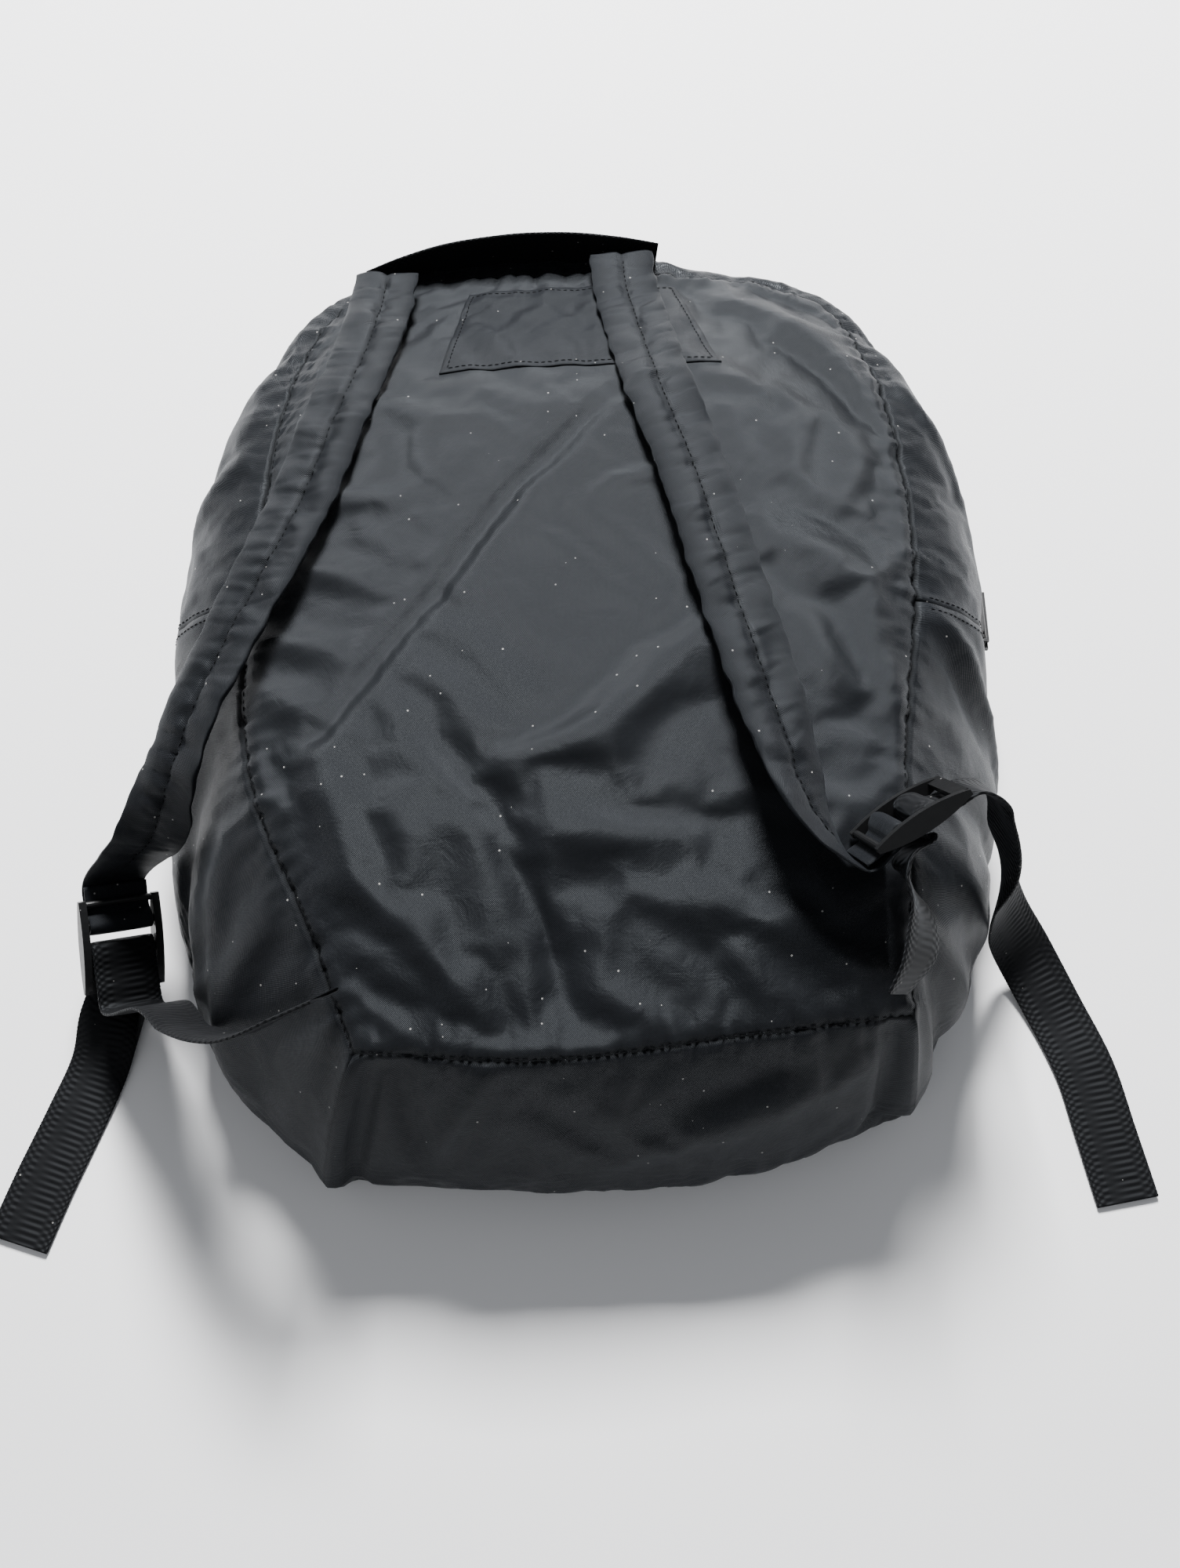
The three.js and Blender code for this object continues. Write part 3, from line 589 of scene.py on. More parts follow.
print("the gusset swells to", gusset_point(0, 20).round(0), "beside the zip's right end")

# %% [markdown]
# Thin nylon keeps the creases from how the bag was packed, and sags between them. They are drawn in before
# the drape: each is a line across the back panel where the cloth stands up (a positive height) or dips.

# %% creases, ridges and hollows of the back panel
def across_fold(place, start, end):
    """How far along a fold a place lies, from 0 to 1, and how far off it."""
    dx, dy = end[0] - start[0], end[1] - start[1]
    t = min(1.0, max(0.0, ((place[0] - start[0]) * dx + (place[1] - start[1]) * dy) / (dx * dx + dy * dy)))
    return t, math.hypot(place[0] - start[0] - t * dx, place[1] - start[1] - t * dy)


FOLDS = [  # start x, y, end x, y, height and half-width in mm
    (2, 96, -34, 50, -2.2, 4.5), (-34, 50, -60, 8, -2.8, 5), (-60, 8, -101, -46, -2.4, 5.5),
    (-24, 52, -50, 12, 1.6, 9), (-26, -62, 4, -52, 3.0, 8), (4, -52, 44, -12, 4.6, 12), (44, -12, 60, 8, 2.2, 12),
    (16, -84, 62, -86, -2.6, 12), (-56, -50, -34, -80, -2.5, 9), (-34, -80, -14, -128, -2.6, 9),
    (-14, -128, -2, -158, -2.4, 7), (-12, -90, 36, -90, 3.4, 8), (-6, -106, 28, -108, -2.4, 7),
    (16, -108, 68, -120, 3.4, 8), (68, -120, 108, -142, 3.0, 8), (72, 32, 110, 24, 4.0, 13),
    (108, 16, 116, -34, 2.6, 9), (84, -6, 92, -24, 3.4, 9), (66, 174, 90, 156, 3.2, 11),
    (90, 156, 120, 118, 3.2, 11), (96, 132, 118, 96, -2.0, 12), (-100, -60, -84, -102, 2.4, 10),
    (-84, -102, -50, -142, 2.2, 10), (-116, 58, -80, 54, 2.4, 6), (-118, 26, -90, 18, 2.4, 6),
    (-126, -6, -100, -12, 2.8, 6), (-122, -30, -100, -40, 2.4, 6), (6, 56, 30, 64, 1.8, 4.5),
    (-70, -80, -62, -112, 1.2, 9), (-96, 108, -70, 96, 1.6, 8), (40, 128, 70, 112, 1.4, 9),
    (52, -134, 70, -146, 2.2, 6), (-62, -120, -40, -152, 1.4, 6), (2, -142, 24, -154, 2.0, 6),
]
# the sags are x, y, radius and depth in mm
SAGS = [(-10, 10, 52, 1.6), (-62, 80, 44, -1.2), (76, 84, 44, -1.6), (8, -120, 50, 1.5), (-70, -70, 40, -1.2)]


def fold_height(x, y):
    total = 0.0
    for ax, ay, bx, by, height, width in FOLDS:
        t, gap = across_fold((x, y), (ax, ay), (bx, by))
        bend = 1 + 0.35 * noise.noise(Vector((x / 20, y / 20, 1.7)))
        total += height * (0.72 + 0.28 * math.sin(math.pi * t)) * math.exp(-((gap / (width * bend)) ** 2))
    for cx, cy, radius, depth in SAGS:
        total -= depth * math.exp(-(((x - cx) ** 2 + (y - cy) ** 2) / radius**2))
    return total


print(len(FOLDS), "creases and", len(SAGS), "sags; the middle lies", round(fold_height(0, 0), 1), "mm off the dome")

# %% [markdown]
# The gussets fold too: deep pleats at the two bottom corners, where three panels meet, and long soft creases
# that fan out round the top end. These are drawn the same way, but on the gusset's own steps and rows, and
# they fade out at the zip and at the floor.

# %% folds of the gussets
GUSSET_FOLDS = [  # start step and row, end step and row, height in mm, half-width in steps
    (180.2, 26, 180.2, 3, 3.6, 1.3), (182.6, 26, 182.4, 3, -4.2, 0.9), (184.5, 26, 189, 14, -3.6, 1.0),
    (189, 14, 193, 25, 3.0, 1.2),
    (177, 24, 176, 8, 2.4, 2.0), (234, 26, 234, 3, 2.4, 1.2), (232, 25, 230.5, 10, -4.5, 1.0),
    (230.5, 10, 236, 4, -3.0, 1.2),
    (237.5, 24, 236, 8, 3.4, 1.4), (241, 22, 240, 8, -3.4, 1.3), (244.5, 24, 243, 8, 2.6, 1.6),
    (275.5, 25, 269, 15, 2.6, 1.0), (269, 15, 263, 8, 2.6, 1.2), (272, 24, 266, 17, -2.2, 1.0),
    (27, 24, 15, 17, 2.4, 1.3), (15, 17, 6, 14.5, 1.8, 1.2), (36, 24, 30, 17, -2.4, 2.0), (48, 23, 44, 16, 2.0, 1.6),
    (205, 15, 229, 22, 2.4, 2.2), (190, 12, 212, 8, 2.2, 3.0), (212, 21, 222, 23, -1.6, 1.5),
    (198, 22, 206, 16, -2.0, 1.6), (150, 22, 163, 10, -3.4, 2.4), (166, 22, 172, 9, 3.0, 2.2),
    (143, 21, 149, 10, 2.6, 2.0), (158, 23, 168, 16, 2.2, 1.4), (121, 23, 126, 16, 2.4, 1.8),
    (106, 23, 110, 16, -2.2, 2.0), (88, 22, 96, 16, 2.2, 1.8), (60, 23, 66, 17, 2.4, 1.8),
    (252, 22, 250, 7, 2.2, 2.2), (258, 20, 256, 8, -2.0, 1.8), (60, 7, 90, 2, 1.2, 2.0), (30, 3, 48, 7, 1.2, 2.0),
]


def gusset_fold(k, row):
    total = 0.0
    for ak, ar, bk, br, height, width in GUSSET_FOLDS:
        t, gap = across_fold((k, row), (ak, ar), (bk, br))
        total += height * (0.6 + 0.4 * math.sin(math.pi * t)) * math.exp(-((gap / width) ** 2))
    near_zip = smooth(0, 3, row - ZIP_HIGH) if row > ZIP_HIGH else smooth(0, 3, ZIP_LOW - row)
    plain = float(smooth(0, 4, min(k - ARCH, RING - k))) if k > ARCH else 0.0
    return total * max(float(near_zip), plain) * float(smooth(0, 2, row))


print(len(GUSSET_FOLDS), "folds in the gussets")

# %% [markdown]
# Now the skin is made. One operator grid is bent into the gusset ring and another into the back panel; merging
# their shared points sews them. Each face keeps the number of its panel and each point its row, so that the
# drape knows what is held and the cutter knows what belongs together.

# %% the skin
PANELS = ["back_panel", "bottom_gusset", "left_side_gusset", "right_side_gusset", "zip_gusset_rear",
          "zip_gusset_front", "zip_band"]
ON_BACK = RING_ROWS + 5  # the row number given to the points inside the back panel


def gusset_panel(k, row):
    """The number of a gusset face's panel in PANELS."""
    if k < ARCH:
        return 5 if row < ZIP_LOW else 6 if row < ZIP_HIGH else 4
    return 2 if k < ARCH + SIDE else 1 if k < ARCH + SIDE + ACROSS else 3


def build_skin():
    bm = grid_mesh(RING, RING_ROWS)
    panel = bm.faces.layers.int.new("panel")
    row_of = bm.verts.layers.float.new("row")
    lift_of = bm.verts.layers.float.new("lift")
    for face in bm.faces:
        centre = face.calc_center_median()
        face[panel] = gusset_panel(int(centre.x * RING), int(centre.y * RING_ROWS))
    for v in bm.verts:
        k, row = round(v.co.x * RING), round(v.co.y * RING_ROWS)
        v[row_of] = row + (0.5 if ARCH < k < RING else 0.0)
        v.co = gusset_point(k, row)
        v[lift_of] = gusset_fold(k % RING, row) if row < RING_ROWS else 0.0
    back = grid_mesh(ACROSS, SHOULDER + SIDE)
    for v in back.verts:
        inside = 0.001 < v.co.x < 0.999 and 0.001 < v.co.y < 0.999
        p = inside_rim(seam, v.co.x, v.co.y)
        if inside:
            p[2] = back_height(p[0], p[1]) + fold_height(p[0], p[1])
        v.co = p
    carried = bpy.data.meshes.new("back")
    back.to_mesh(carried)
    back.free()
    count = len(bm.verts)
    bm.from_mesh(carried)
    bpy.data.meshes.remove(carried)
    bm.verts.ensure_lookup_table()
    for v in bm.verts[count:]:
        v[row_of] = ON_BACK
    bmesh.ops.remove_doubles(bm, verts=bm.verts, dist=0.01)
    bmesh.ops.recalc_face_normals(bm, faces=bm.faces)
    if sum(f.normal.z for f in bm.faces if f[panel] == 0 and f.calc_center_median().z > 60) < 0:
        bmesh.ops.reverse_faces(bm, faces=bm.faces)
    bm.normal_update()
    lifted = [v.co + v.normal * v[lift_of] for v in bm.verts]
    for v, place in zip(bm.verts, lifted):
        v.co = Vector(at(place[:]))
    return new_object("skin", bm)


skin = build_skin()
print("skin:", len(skin.data.vertices), "points,", len(skin.data.polygons), "faces")

# %% [markdown]
# The drape: gravity pulls the skin down a little, the seams are gathered by their thread, and the cloth
# between them is cut slightly larger than it needs to be, so it buckles into real folds. A soft goal keeps
# it near its drawn shape, the zip and the floor line are held, and a cap stops any point from wandering.

# %% distance to a seam
def nearest_on_line(points, line):
    """Distance to a closed line, and how far along it the nearest point lies, both in the points' own unit."""
    ends = np.vstack([line, line[:1]])
    run = np.concatenate([[0], np.cumsum(np.linalg.norm(np.diff(ends, axis=0), axis=1))])
    best = np.full(len(points), 1e9)
    where = np.zeros(len(points))
    for k in range(len(line)):
        a, b = ends[k], ends[k + 1]
        d = b - a
        t = np.clip(((points - a) @ d) / max(1e-12, d @ d), 0, 1)
        gap = np.linalg.norm(points - (a + t[:, None] * d), axis=1)
        closer = gap < best
        best = np.where(closer, gap, best)
        where = np.where(closer, run[k] + t * (run[k + 1] - run[k]), where)
    return best, where


def coordinates(mesh):
    flat = np.empty(len(mesh.vertices) * 3)
    mesh.vertices.foreach_get("co", flat)
    return flat.reshape(-1, 3)


gaps, _ = nearest_on_line(coordinates(skin.data), at(seam))
print("%d points lie on the seam of the back panel" % (gaps < 0.0005).sum())

# %% [markdown]
# Two vertex groups steer the drape: goal says how firmly a point is held, and gather how much the thread
# shortens the cloth there. The rest are the cloth's own numbers: thin nylon is light, hardly stretches, and
# is stiff enough against bending to fold in broad facets, not in ripples.

# %% drape the skin as cloth
DRAPE_FRAMES = 26
DRAPE_CAP = 0.006
NYLON_CLOTH = {
    "quality": 6, "mass": 0.12, "tension_stiffness": 20, "compression_stiffness": 20, "shear_stiffness": 6,
    "bending_stiffness": 1.2, "tension_damping": 8, "compression_damping": 8, "air_damping": 3,
    "vertex_group_mass": "goal", "pin_stiffness": 1.0, "vertex_group_shrink": "gather", "shrink_min": -0.013,
    "shrink_max": 0.01,
}


def drape_skin(obj):
    mesh = obj.data
    start = coordinates(mesh)
    rows = np.array([value.value for value in mesh.attributes["row"].data])
    from_seam, _ = nearest_on_line(start, at(seam))
    held = (rows < 1) | ((rows >= ZIP_LOW) & (rows <= ZIP_HIGH) & (rows == np.round(rows)))
    goal = np.where(held, 1.0, 0.18)
    goal = np.where(from_seam < 0.002, np.maximum(goal, 0.6), goal)
    gather = smooth(0.016, 0.0, from_seam)
    pin = obj.vertex_groups.new(name="goal")
    tight = obj.vertex_groups.new(name="gather")
    for i in range(len(start)):
        pin.add([i], float(goal[i]), "REPLACE")
        tight.add([i], float(gather[i]), "REPLACE")
    cloth = obj.modifiers.new("drape", "CLOTH")
    for label, value in NYLON_CLOTH.items():
        setattr(cloth.settings, label, value)
    cloth.settings.effector_weights.gravity = 0.12
    cloth.collision_settings.use_collision = False
    cloth.point_cache.frame_start = 1
    cloth.point_cache.frame_end = DRAPE_FRAMES
    for step in range(1, DRAPE_FRAMES + 1):
        scene.frame_set(step)
    draped = obj.evaluated_get(bpy.context.evaluated_depsgraph_get())
    moved = coordinates(draped.to_mesh())
    draped.to_mesh_clear()
    scene.frame_set(1)
    obj.modifiers.remove(cloth)
    shift = moved - start
    far = np.linalg.norm(shift, axis=1)
    shift *= np.minimum(1, DRAPE_CAP / np.maximum(1e-9, far))[:, None]
    on_back = rows > RING_ROWS + 2
    shift[on_back, 2] = np.minimum(shift[on_back, 2], 0.0015)
    mesh.vertices.foreach_set("co", (start + shift).ravel())
    mesh.update()
    obj.vertex_groups.clear()
    return far


travel = drape_skin(skin)
print("drape: points moved %.1f mm on average, %.1f at most" % (travel.mean() * 1000, travel.max() * 1000))

# %% [markdown]
# Subdividing gives cells of about 2 mm, fine enough for puckers. A pucker is a short ridge across a seam:
# noise that changes quickly along the seam and slowly away from it. The seam itself is a shallow groove,
# and the shade in it is painted into the cloth's colour.

# %% puckers
def streaks(along, away, size, seed):
    """Noise drawn out across the seam, between -1 and 1."""
    return noise.noise(Vector((along / size, away / (size * 6.0), seed)))


def pucker_skin(obj):
    bm = bmesh.new()
    bm.from_mesh(obj.data)
    bmesh.ops.subdivide_edges(bm, edges=bm.edges, cuts=1, use_grid_fill=True, smooth=0.0)
    for _ in range(2):
        inner = [v for v in bm.verts if not v.is_boundary]
        bmesh.ops.smooth_vert(bm, verts=inner, factor=0.3, use_axis_x=True, use_axis_y=True, use_axis_z=True)
    bm.normal_update()
    row_of = bm.verts.layers.float["row"]
    shade_of = bm.verts.layers.float.new("painted_seam_shade")
    points = np.array([v.co[:] for v in bm.verts])
    away, along = nearest_on_line(points, at(seam))
    away, along = away * 1000, along * 1000
    normals = np.array([v.normal[:] for v in bm.verts])
    for i, v in enumerate(bm.verts):
        row = v[row_of]
        held = row < 1 or (ZIP_LOW - 0.5 <= row <= ZIP_HIGH + 0.5 and row == round(row))
        lift = 0.0
        if not held:
            lift += 1.8 * math.exp(-away[i] / 7.0) * streaks(along[i], away[i], 6.0, 3.0)
            lift -= 1.5 * math.exp(-away[i] / 10.0) * math.exp(-abs(streaks(along[i], away[i], 8.0, 5.0)) / 0.09)
            lift += 1.3 * math.exp(-away[i] / 20.0) * streaks(along[i], away[i], 15.0, 9.0)
            lift -= 0.5 * math.exp(-((away[i] / 1.8) ** 2))
            # painted shade: the groove along the seam is marked here to be coloured near black
            v[shade_of] = 0.95 * math.exp(-((away[i] / 1.1) ** 2))
            x, y, _ = points[i] * 1000
            if row > RING_ROWS + 2:
                lift += 0.3 * noise.noise(Vector((x / 24, y / 18, 4))) + 0.08 * noise.noise(Vector((x / 8, y / 10, 7)))
            elif row < RING_ROWS:
                wave = noise.noise(Vector((along[i] / 16, row / 14, 12)))
                lift += 1.5 * wave * math.sin(math.pi * min(1, row / RING_ROWS))
        v.co += Vector(normals[i] * lift * MM)
    bm.to_mesh(obj.data)
    bm.free()


pucker_skin(skin)
print("skin after puckering:", len(skin.data.polygons), "faces")
skin_copy = skin.data.copy()
bm = bmesh.new()
bm.from_mesh(skin.data)
skin_tree = BVHTree.FromBMesh(bm)
bm.free()

# %% [markdown]
# Now the skin is cut along its seams into the real panels, each given its cloth thickness inwards. The UV map
# lies along the ring and up it, in metres, so the weave keeps one size on every panel.

# %% cut the panels
CLOTH_WALL = 0.0007


def cloth_uv(obj, flat):
    """A UV map in metres from a function of a point."""
    mesh = obj.data
    layer = mesh.uv_layers.new(name="cloth")
    for loop in mesh.loops:
        layer.data[loop.index].uv = flat(mesh.vertices[loop.vertex_index].co)


def ring_uv(co):
    """Round the bag, on a circle of about its own size, and up it."""
    return (math.atan2(co.y - Y0, co.x - X0) * 0.16, co.z)


def top_uv(co):
    return (co.x, co.y)


def thicken(obj, wall):
    made = obj.modifiers.new("cloth_thickness", "SOLIDIFY")
    made.thickness = wall
    made.offset = -1


def cut_panel(index):
    bm = bmesh.new()
    bm.from_mesh(skin_copy)
    panel = bm.faces.layers.int["panel"]
    bmesh.ops.delete(bm, geom=[f for f in bm.faces if f[panel] != index], context="FACES")
    for face in bm.faces:
        face.smooth = True
    name = PANELS[index]
    made = new_object("cloth_" + name, bm, nylon)
    cloth_uv(made, top_uv if name == "back_panel" else ring_uv)
    thicken(made, CLOTH_WALL)
    return made


panels = {name: cut_panel(i) for i, name in enumerate(PANELS) if name != "zip_band"}
bpy.data.objects.remove(skin)
for name, piece in panels.items():
    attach(piece, "bag")
    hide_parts(name)
    print(piece.name, len(piece.data.polygons), "faces")

# %% [markdown]
# The front panel carries the bag's weight, so it is simply flat. It fills the floor line of the gusset with the
# same soap-film blend as the back panel, and faces down.

# %% the front panel
def build_front_panel():
    bm = grid_mesh(ACROSS, SHOULDER + SIDE)
    for v in bm.verts:
        p = inside_rim(foot, v.co.x, v.co.y)
        p[2] = 0.9
        v.co = Vector(at(p))
    bmesh.ops.recalc_face_normals(bm, faces=bm.faces)
    bmesh.ops.reverse_faces(bm, faces=[f for f in bm.faces if f.normal.z > 0])
    made = new_object("cloth_front_panel", bm, nylon)
    cloth_uv(made, top_uv)
    thicken(made, CLOTH_WALL)
    return made


front = build_front_panel()
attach(front, "bag")
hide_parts("front_panel")
print(front.name, len(front.data.polygons), "faces")

# %% [markdown]
# Every panel is a sheet that was cut flat.


# %% [markdown]
# ## Bands: straps, webbing and handle
# A band is a closed tube with a flat section. A grid is wrapped round the section and its two edges are
# merged, so one helper makes a puffy sewn strap and a thin woven webbing alike. Each station on its path gives
# a place, the direction across the band, its width and its thickness.

# %% the path of a band
def band_frames(rows, count):
    """Rows of x, y, z, then the direction across, then the width and the thickness, in the bag's millimetres."""
    line = evenly(rows, count)
    p, w = line[:, :3], unit(line[:, 3:6])
    t = unit(np.gradient(p, axis=0))
    w = unit(w - (w * t).sum(1, keepdims=True) * t)
    run = np.concatenate([[0], np.cumsum(np.linalg.norm(np.diff(p, axis=0), axis=1))])
    return {"p": p, "w": w, "n": np.cross(t, w), "t": t, "run": run, "width": line[:, 6], "thick": line[:, 7]}


def flat_section(angle, frame_at):
    """A woven band: a flat section with rounded edges."""
    c, s = math.cos(angle), math.sin(angle)
    across = math.copysign(abs(c) ** 0.35, c)
    out = math.copysign(abs(s) ** 0.35, s)
    return across * frame_at["width"] / 2, out * frame_at["thick"] / 2


def band(name, frames, ring, section, material):
    count = len(frames["p"]) - 1
    bm = grid_mesh(count, ring)
    uv = bm.loops.layers.uv.new("cloth")
    shade_of = bm.verts.layers.float.new("painted_seam_shade")
    for face in bm.faces:
        for loop in face.loops:
            i = round(loop.vert.co.x * count)
            loop[uv].uv = (frames["run"][i] * MM, loop.vert.co.y * frames["width"][i] * 2 * MM)
    for v in bm.verts:
        i = round(v.co.x * count)
        here = {key: value[i] for key, value in frames.items()}
        # a section may give a third value: painted shade for the colour
        a, b, *shade = section(math.tau * v.co.y, here)
        v[shade_of] = shade[0] if shade else 0.0
        v.co = Vector(at(here["p"] + here["w"] * a + here["n"] * b))
    bmesh.ops.remove_doubles(bm, verts=bm.verts, dist=1e-6)
    bmesh.ops.holes_fill(bm, edges=[e for e in bm.edges if e.is_boundary], sides=0)
    bmesh.ops.recalc_face_normals(bm, faces=bm.faces)
    for face in bm.faces:
        face.smooth = len(face.verts) < 5
    return new_object(name, bm, material)


print("helpers: the frames along a band and the band itself")

# %% [markdown]
# A ladder lock has its own directions: along it, across it and out of its face. The strap's loop and the
# webbing's path through it are given in those, so they stay in place in the lock.

# %% the locks' places
WEB, WEB_THICK = 25.0, 1.4


def lock_frame(centre, along, across):
    d = unit(np.array(along))
    w = np.array(across, float)
    w = unit(w - (w @ d) * d)
    return {"c": np.array(centre, float), "d": d, "w": w, "n": np.cross(w, d)}


LOCKS = {
    "right": lock_frame((112, -87, 121), (0.841, 0.501, 0.2), (0.127, -0.542, 0.832)),
    "left": lock_frame((-189, -103, 27), (0.02, -0.834, -0.552), (-0.832, -0.174, 0.528)),
}


def in_lock(side, pairs, width, thick):
    lock = LOCKS[side]
    return [(*(lock["c"] + lock["d"] * d + lock["n"] * n), *(-lock["w"]), width, thick) for d, n in pairs]


for side, lock in LOCKS.items():
    print(side, "lock's face points", lock["n"].round(2))

# %% [markdown]
# Each shoulder strap lies on the back panel from its top seam, then leaves it and ends in a loop round the
# lock's upper bar. Its stations give their height above the back, so the strap follows the dome.

# %% paths of the shoulder straps
STRAP_THICK = 2.4
STRAP_LOOP = [(-24, -5.6), (-15, -5), (-9, -3.6), (-5.8, -1.4), (-5.6, 1.2), (-8.5, 3.2), (-11.7, 1.2),
              (-13.2, -1.2), (-17.5, -2.7), (-24, -3.3)]


def above_back(rows):
    return [(x, y, back_height(x, y) + lift, wx, wy, wz, width, STRAP_THICK)
            for x, y, lift, wx, wy, wz, width in rows]


right_path = above_back([
    (14, 199, 9, 1, 0.35, 0, 28), (15, 181, 6, 1, 0.35, 0, 28), (20, 147, 5, 1, 0.35, 0, 28),
    (28, 105, 5.5, 1, 0.35, 0, 28), (41, 58, 6, 1, 0.36, -0.1, 28), (52, 12, 7, 1, 0.36, -0.16, 28),
    (62, -28, 9, 1, 0.4, -0.25, 28), (70, -60, 12, 0.8, 0.42, -0.45, 27), (77, -84, 15, 0.45, 0.62, -0.62, 26),
]) + in_lock("right", STRAP_LOOP, WEB, 1.3)
left_path = above_back([
    (-90, 186, 10, 1, -0.3, 0.1, 28), (-91, 168, 8, 1, -0.28, 0.1, 28), (-95, 135, 6, 1, -0.25, 0.12, 28),
    (-104, 95, 6, 1, -0.25, 0.15, 28), (-114, 55, 7.5, 1, -0.3, 0.2, 28),
]) + [
    (-127, 18, 111, 1, -0.35, 0.3, 28, 2.4), (-140, -14, 108, 0.9, -0.38, 0.4, 28, 2.4),
    (-151, -40, 101, 0.85, -0.35, 0.5, 28, 2.4), (-160, -59, 87, 0.87, -0.2, 0.45, 27, 2.4),
    (-170, -72, 67, 0.93, 0, 0.1, 26, 2.2),
] + in_lock("left", STRAP_LOOP, WEB, 1.3)
print("strap paths of %.0f and %.0f mm" % (length_of(dense(right_path)), length_of(dense(left_path))))

# %% [markdown]
# The shoulder straps are folded tubes of the same nylon, sewn flat with one line of stitching. The thread
# gathers the cloth, so short puckers run out from the line and the edges wander a little. The shade in the
# stitch line's groove is painted into the colour.

# %% shoulder straps
STITCH_AT = 0.04  # the stitch line's place across the strap, from its middle towards its right edge


def strap_section(seed):
    def section(angle, here):
        puff = float(np.clip((here["thick"] - 1.3) / 0.9, 0, 1))
        run = here["run"]
        c, s = math.cos(angle), math.sin(angle)
        across = math.copysign(abs(c) ** 0.8, c)
        side = 1.0 if across > STITCH_AT else -1.0
        edge = 1 + 0.09 * puff * noise.noise(Vector((run / 8, side * 7.1, seed)))
        away = abs(across - STITCH_AT)
        rim = math.copysign(abs(s) ** 0.32, s)
        lobe = puff * 0.55 * math.sin(math.pi * min(1, away)) ** 0.7 if s > 0 else puff * 0.3
        groove = puff * 0.8 * math.exp(-((away / 0.06) ** 2))
        gather = math.exp(-away / 0.42) * noise.noise(Vector((run / 5.0, side * 5 + across * 0.5, seed)))
        crease = noise.noise(Vector((run / 9.0 + across * 0.25, side * 9 + across * 0.3, seed + 2)))
        gather -= 0.75 * math.exp(-away / 0.9) * math.exp(-abs(crease) / 0.085)
        broad = noise.noise(Vector((run / 12, across * 0.8 + side * 3, seed + 5)))
        height = here["thick"] / 2 + lobe - groove + puff * (1.3 * gather + 1.5 * broad)
        bottom = here["thick"] / 2 + lobe * 0.3
        lift = rim * (height if s > 0 else bottom)
        lift += puff * 0.9 * noise.noise(Vector((run / 24, across * 1.2, seed + 8)))
        # painted shade along the stitch groove on the strap's top face
        shade = puff * 0.9 * math.exp(-((away / 0.045) ** 2)) if s > 0 else 0.0
        return across * here["width"] / 2 * edge, lift, shade

    return section


def shoulder_strap(side, path, seed):
    frames = band_frames(path, 300)
    made = band(f"cloth_{side}_shoulder_strap", frames, 72, strap_section(seed), strap_nylon)
    return made, frames


right_strap, right_frames = shoulder_strap("right", right_path, 2.0)
left_strap, left_frames = shoulder_strap("left", left_path, 31.0)
print("straps:", len(right_strap.data.polygons), "faces each")

# %% [markdown]
# A stitch is a short fat lens of thread lying on the cloth. Each seam of stitches is one mesh: the lens is
# copied along the line, turned to follow it and pressed a little into the cloth.

# %% stitches
def tree_of(obj):
    bm = bmesh.new()
    bm.from_mesh(obj.data)
    made = BVHTree.FromBMesh(bm)
    bm.free()
    return made


SINK = 0.05  # how deep a stitch is pressed into the cloth


def stitch_line(name, points, out, tree, pitch=3.1, length=2.3, fat=0.55):
    """Stitches along points (metres), each laid on the surface found along the outward direction."""
    points = np.asarray(points, float)
    run = np.concatenate([[0], np.cumsum(np.linalg.norm(np.diff(points, axis=0), axis=1))])
    steps = np.arange(pitch / 2 * MM, run[-1], pitch * MM)
    bm = bmesh.new()
    for k, step in enumerate(steps):
        here = Vector([np.interp(step, run, points[:, c]) for c in range(3)])
        ahead = Vector([np.interp(step + 0.0006, run, points[:, c]) for c in range(3)])
        facing = Vector([np.interp(step, run, np.asarray(out)[:, c]) for c in range(3)]).normalized()
        hit, normal, _, _ = tree.ray_cast(here + facing * 0.012, -facing, 0.03)
        if hit is None:
            continue
        forward = (ahead - here).normalized()
        wander = 0.12 * math.sin(k * 2.4)
        forward = (forward + facing.cross(forward) * wander).normalized()
        up = (facing - forward * facing.dot(forward)).normalized()
        wide = up.cross(forward)
        lens = bmesh.ops.create_uvsphere(bm, u_segments=6, v_segments=4, radius=1.0)
        for v in lens["verts"]:
            local = v.co.copy()
            v.co = (hit + up * (fat * 0.2 - SINK) * MM + forward * local.x * length / 2 * MM
                    + wide * local.y * fat / 2 * MM + up * local.z * fat / 2 * MM)
    for face in bm.faces:
        face.smooth = True
    bmesh.ops.recalc_face_normals(bm, faces=bm.faces)
    made = new_object(name, bm, thread)
    cloth_uv(made, top_uv)
    return made


def stitch_count(obj):
    return len(obj.data.polygons) // 24


def strap_stitches(side, strap, frames):
    last = int(np.argmax(frames["thick"] < 1.6))  # where the strap thins into its loop
    offset = frames["w"] * (STITCH_AT * frames["width"] / 2)[:, None]
    line = at(frames["p"] + offset)[4:last]
    return stitch_line(f"{side}_strap_stitches", line, frames["n"][4:last], tree_of(strap))


right_stitches = strap_stitches("right", right_strap, right_frames)
left_stitches = strap_stitches("left", left_strap, left_frames)
print("stitches:", stitch_count(right_stitches), "and", stitch_count(left_stitches))

# %% [markdown]
# One length of webbing runs from each bottom corner up through the lock and down to its loose cut end, which
# lies on the floor. Webbing bends freely along its length but hardly at all across it.

# %% webbing
def web(x, y, z, wx, wy, wz):
    return (x, y, z, wx, wy, wz, WEB, WEB_THICK)


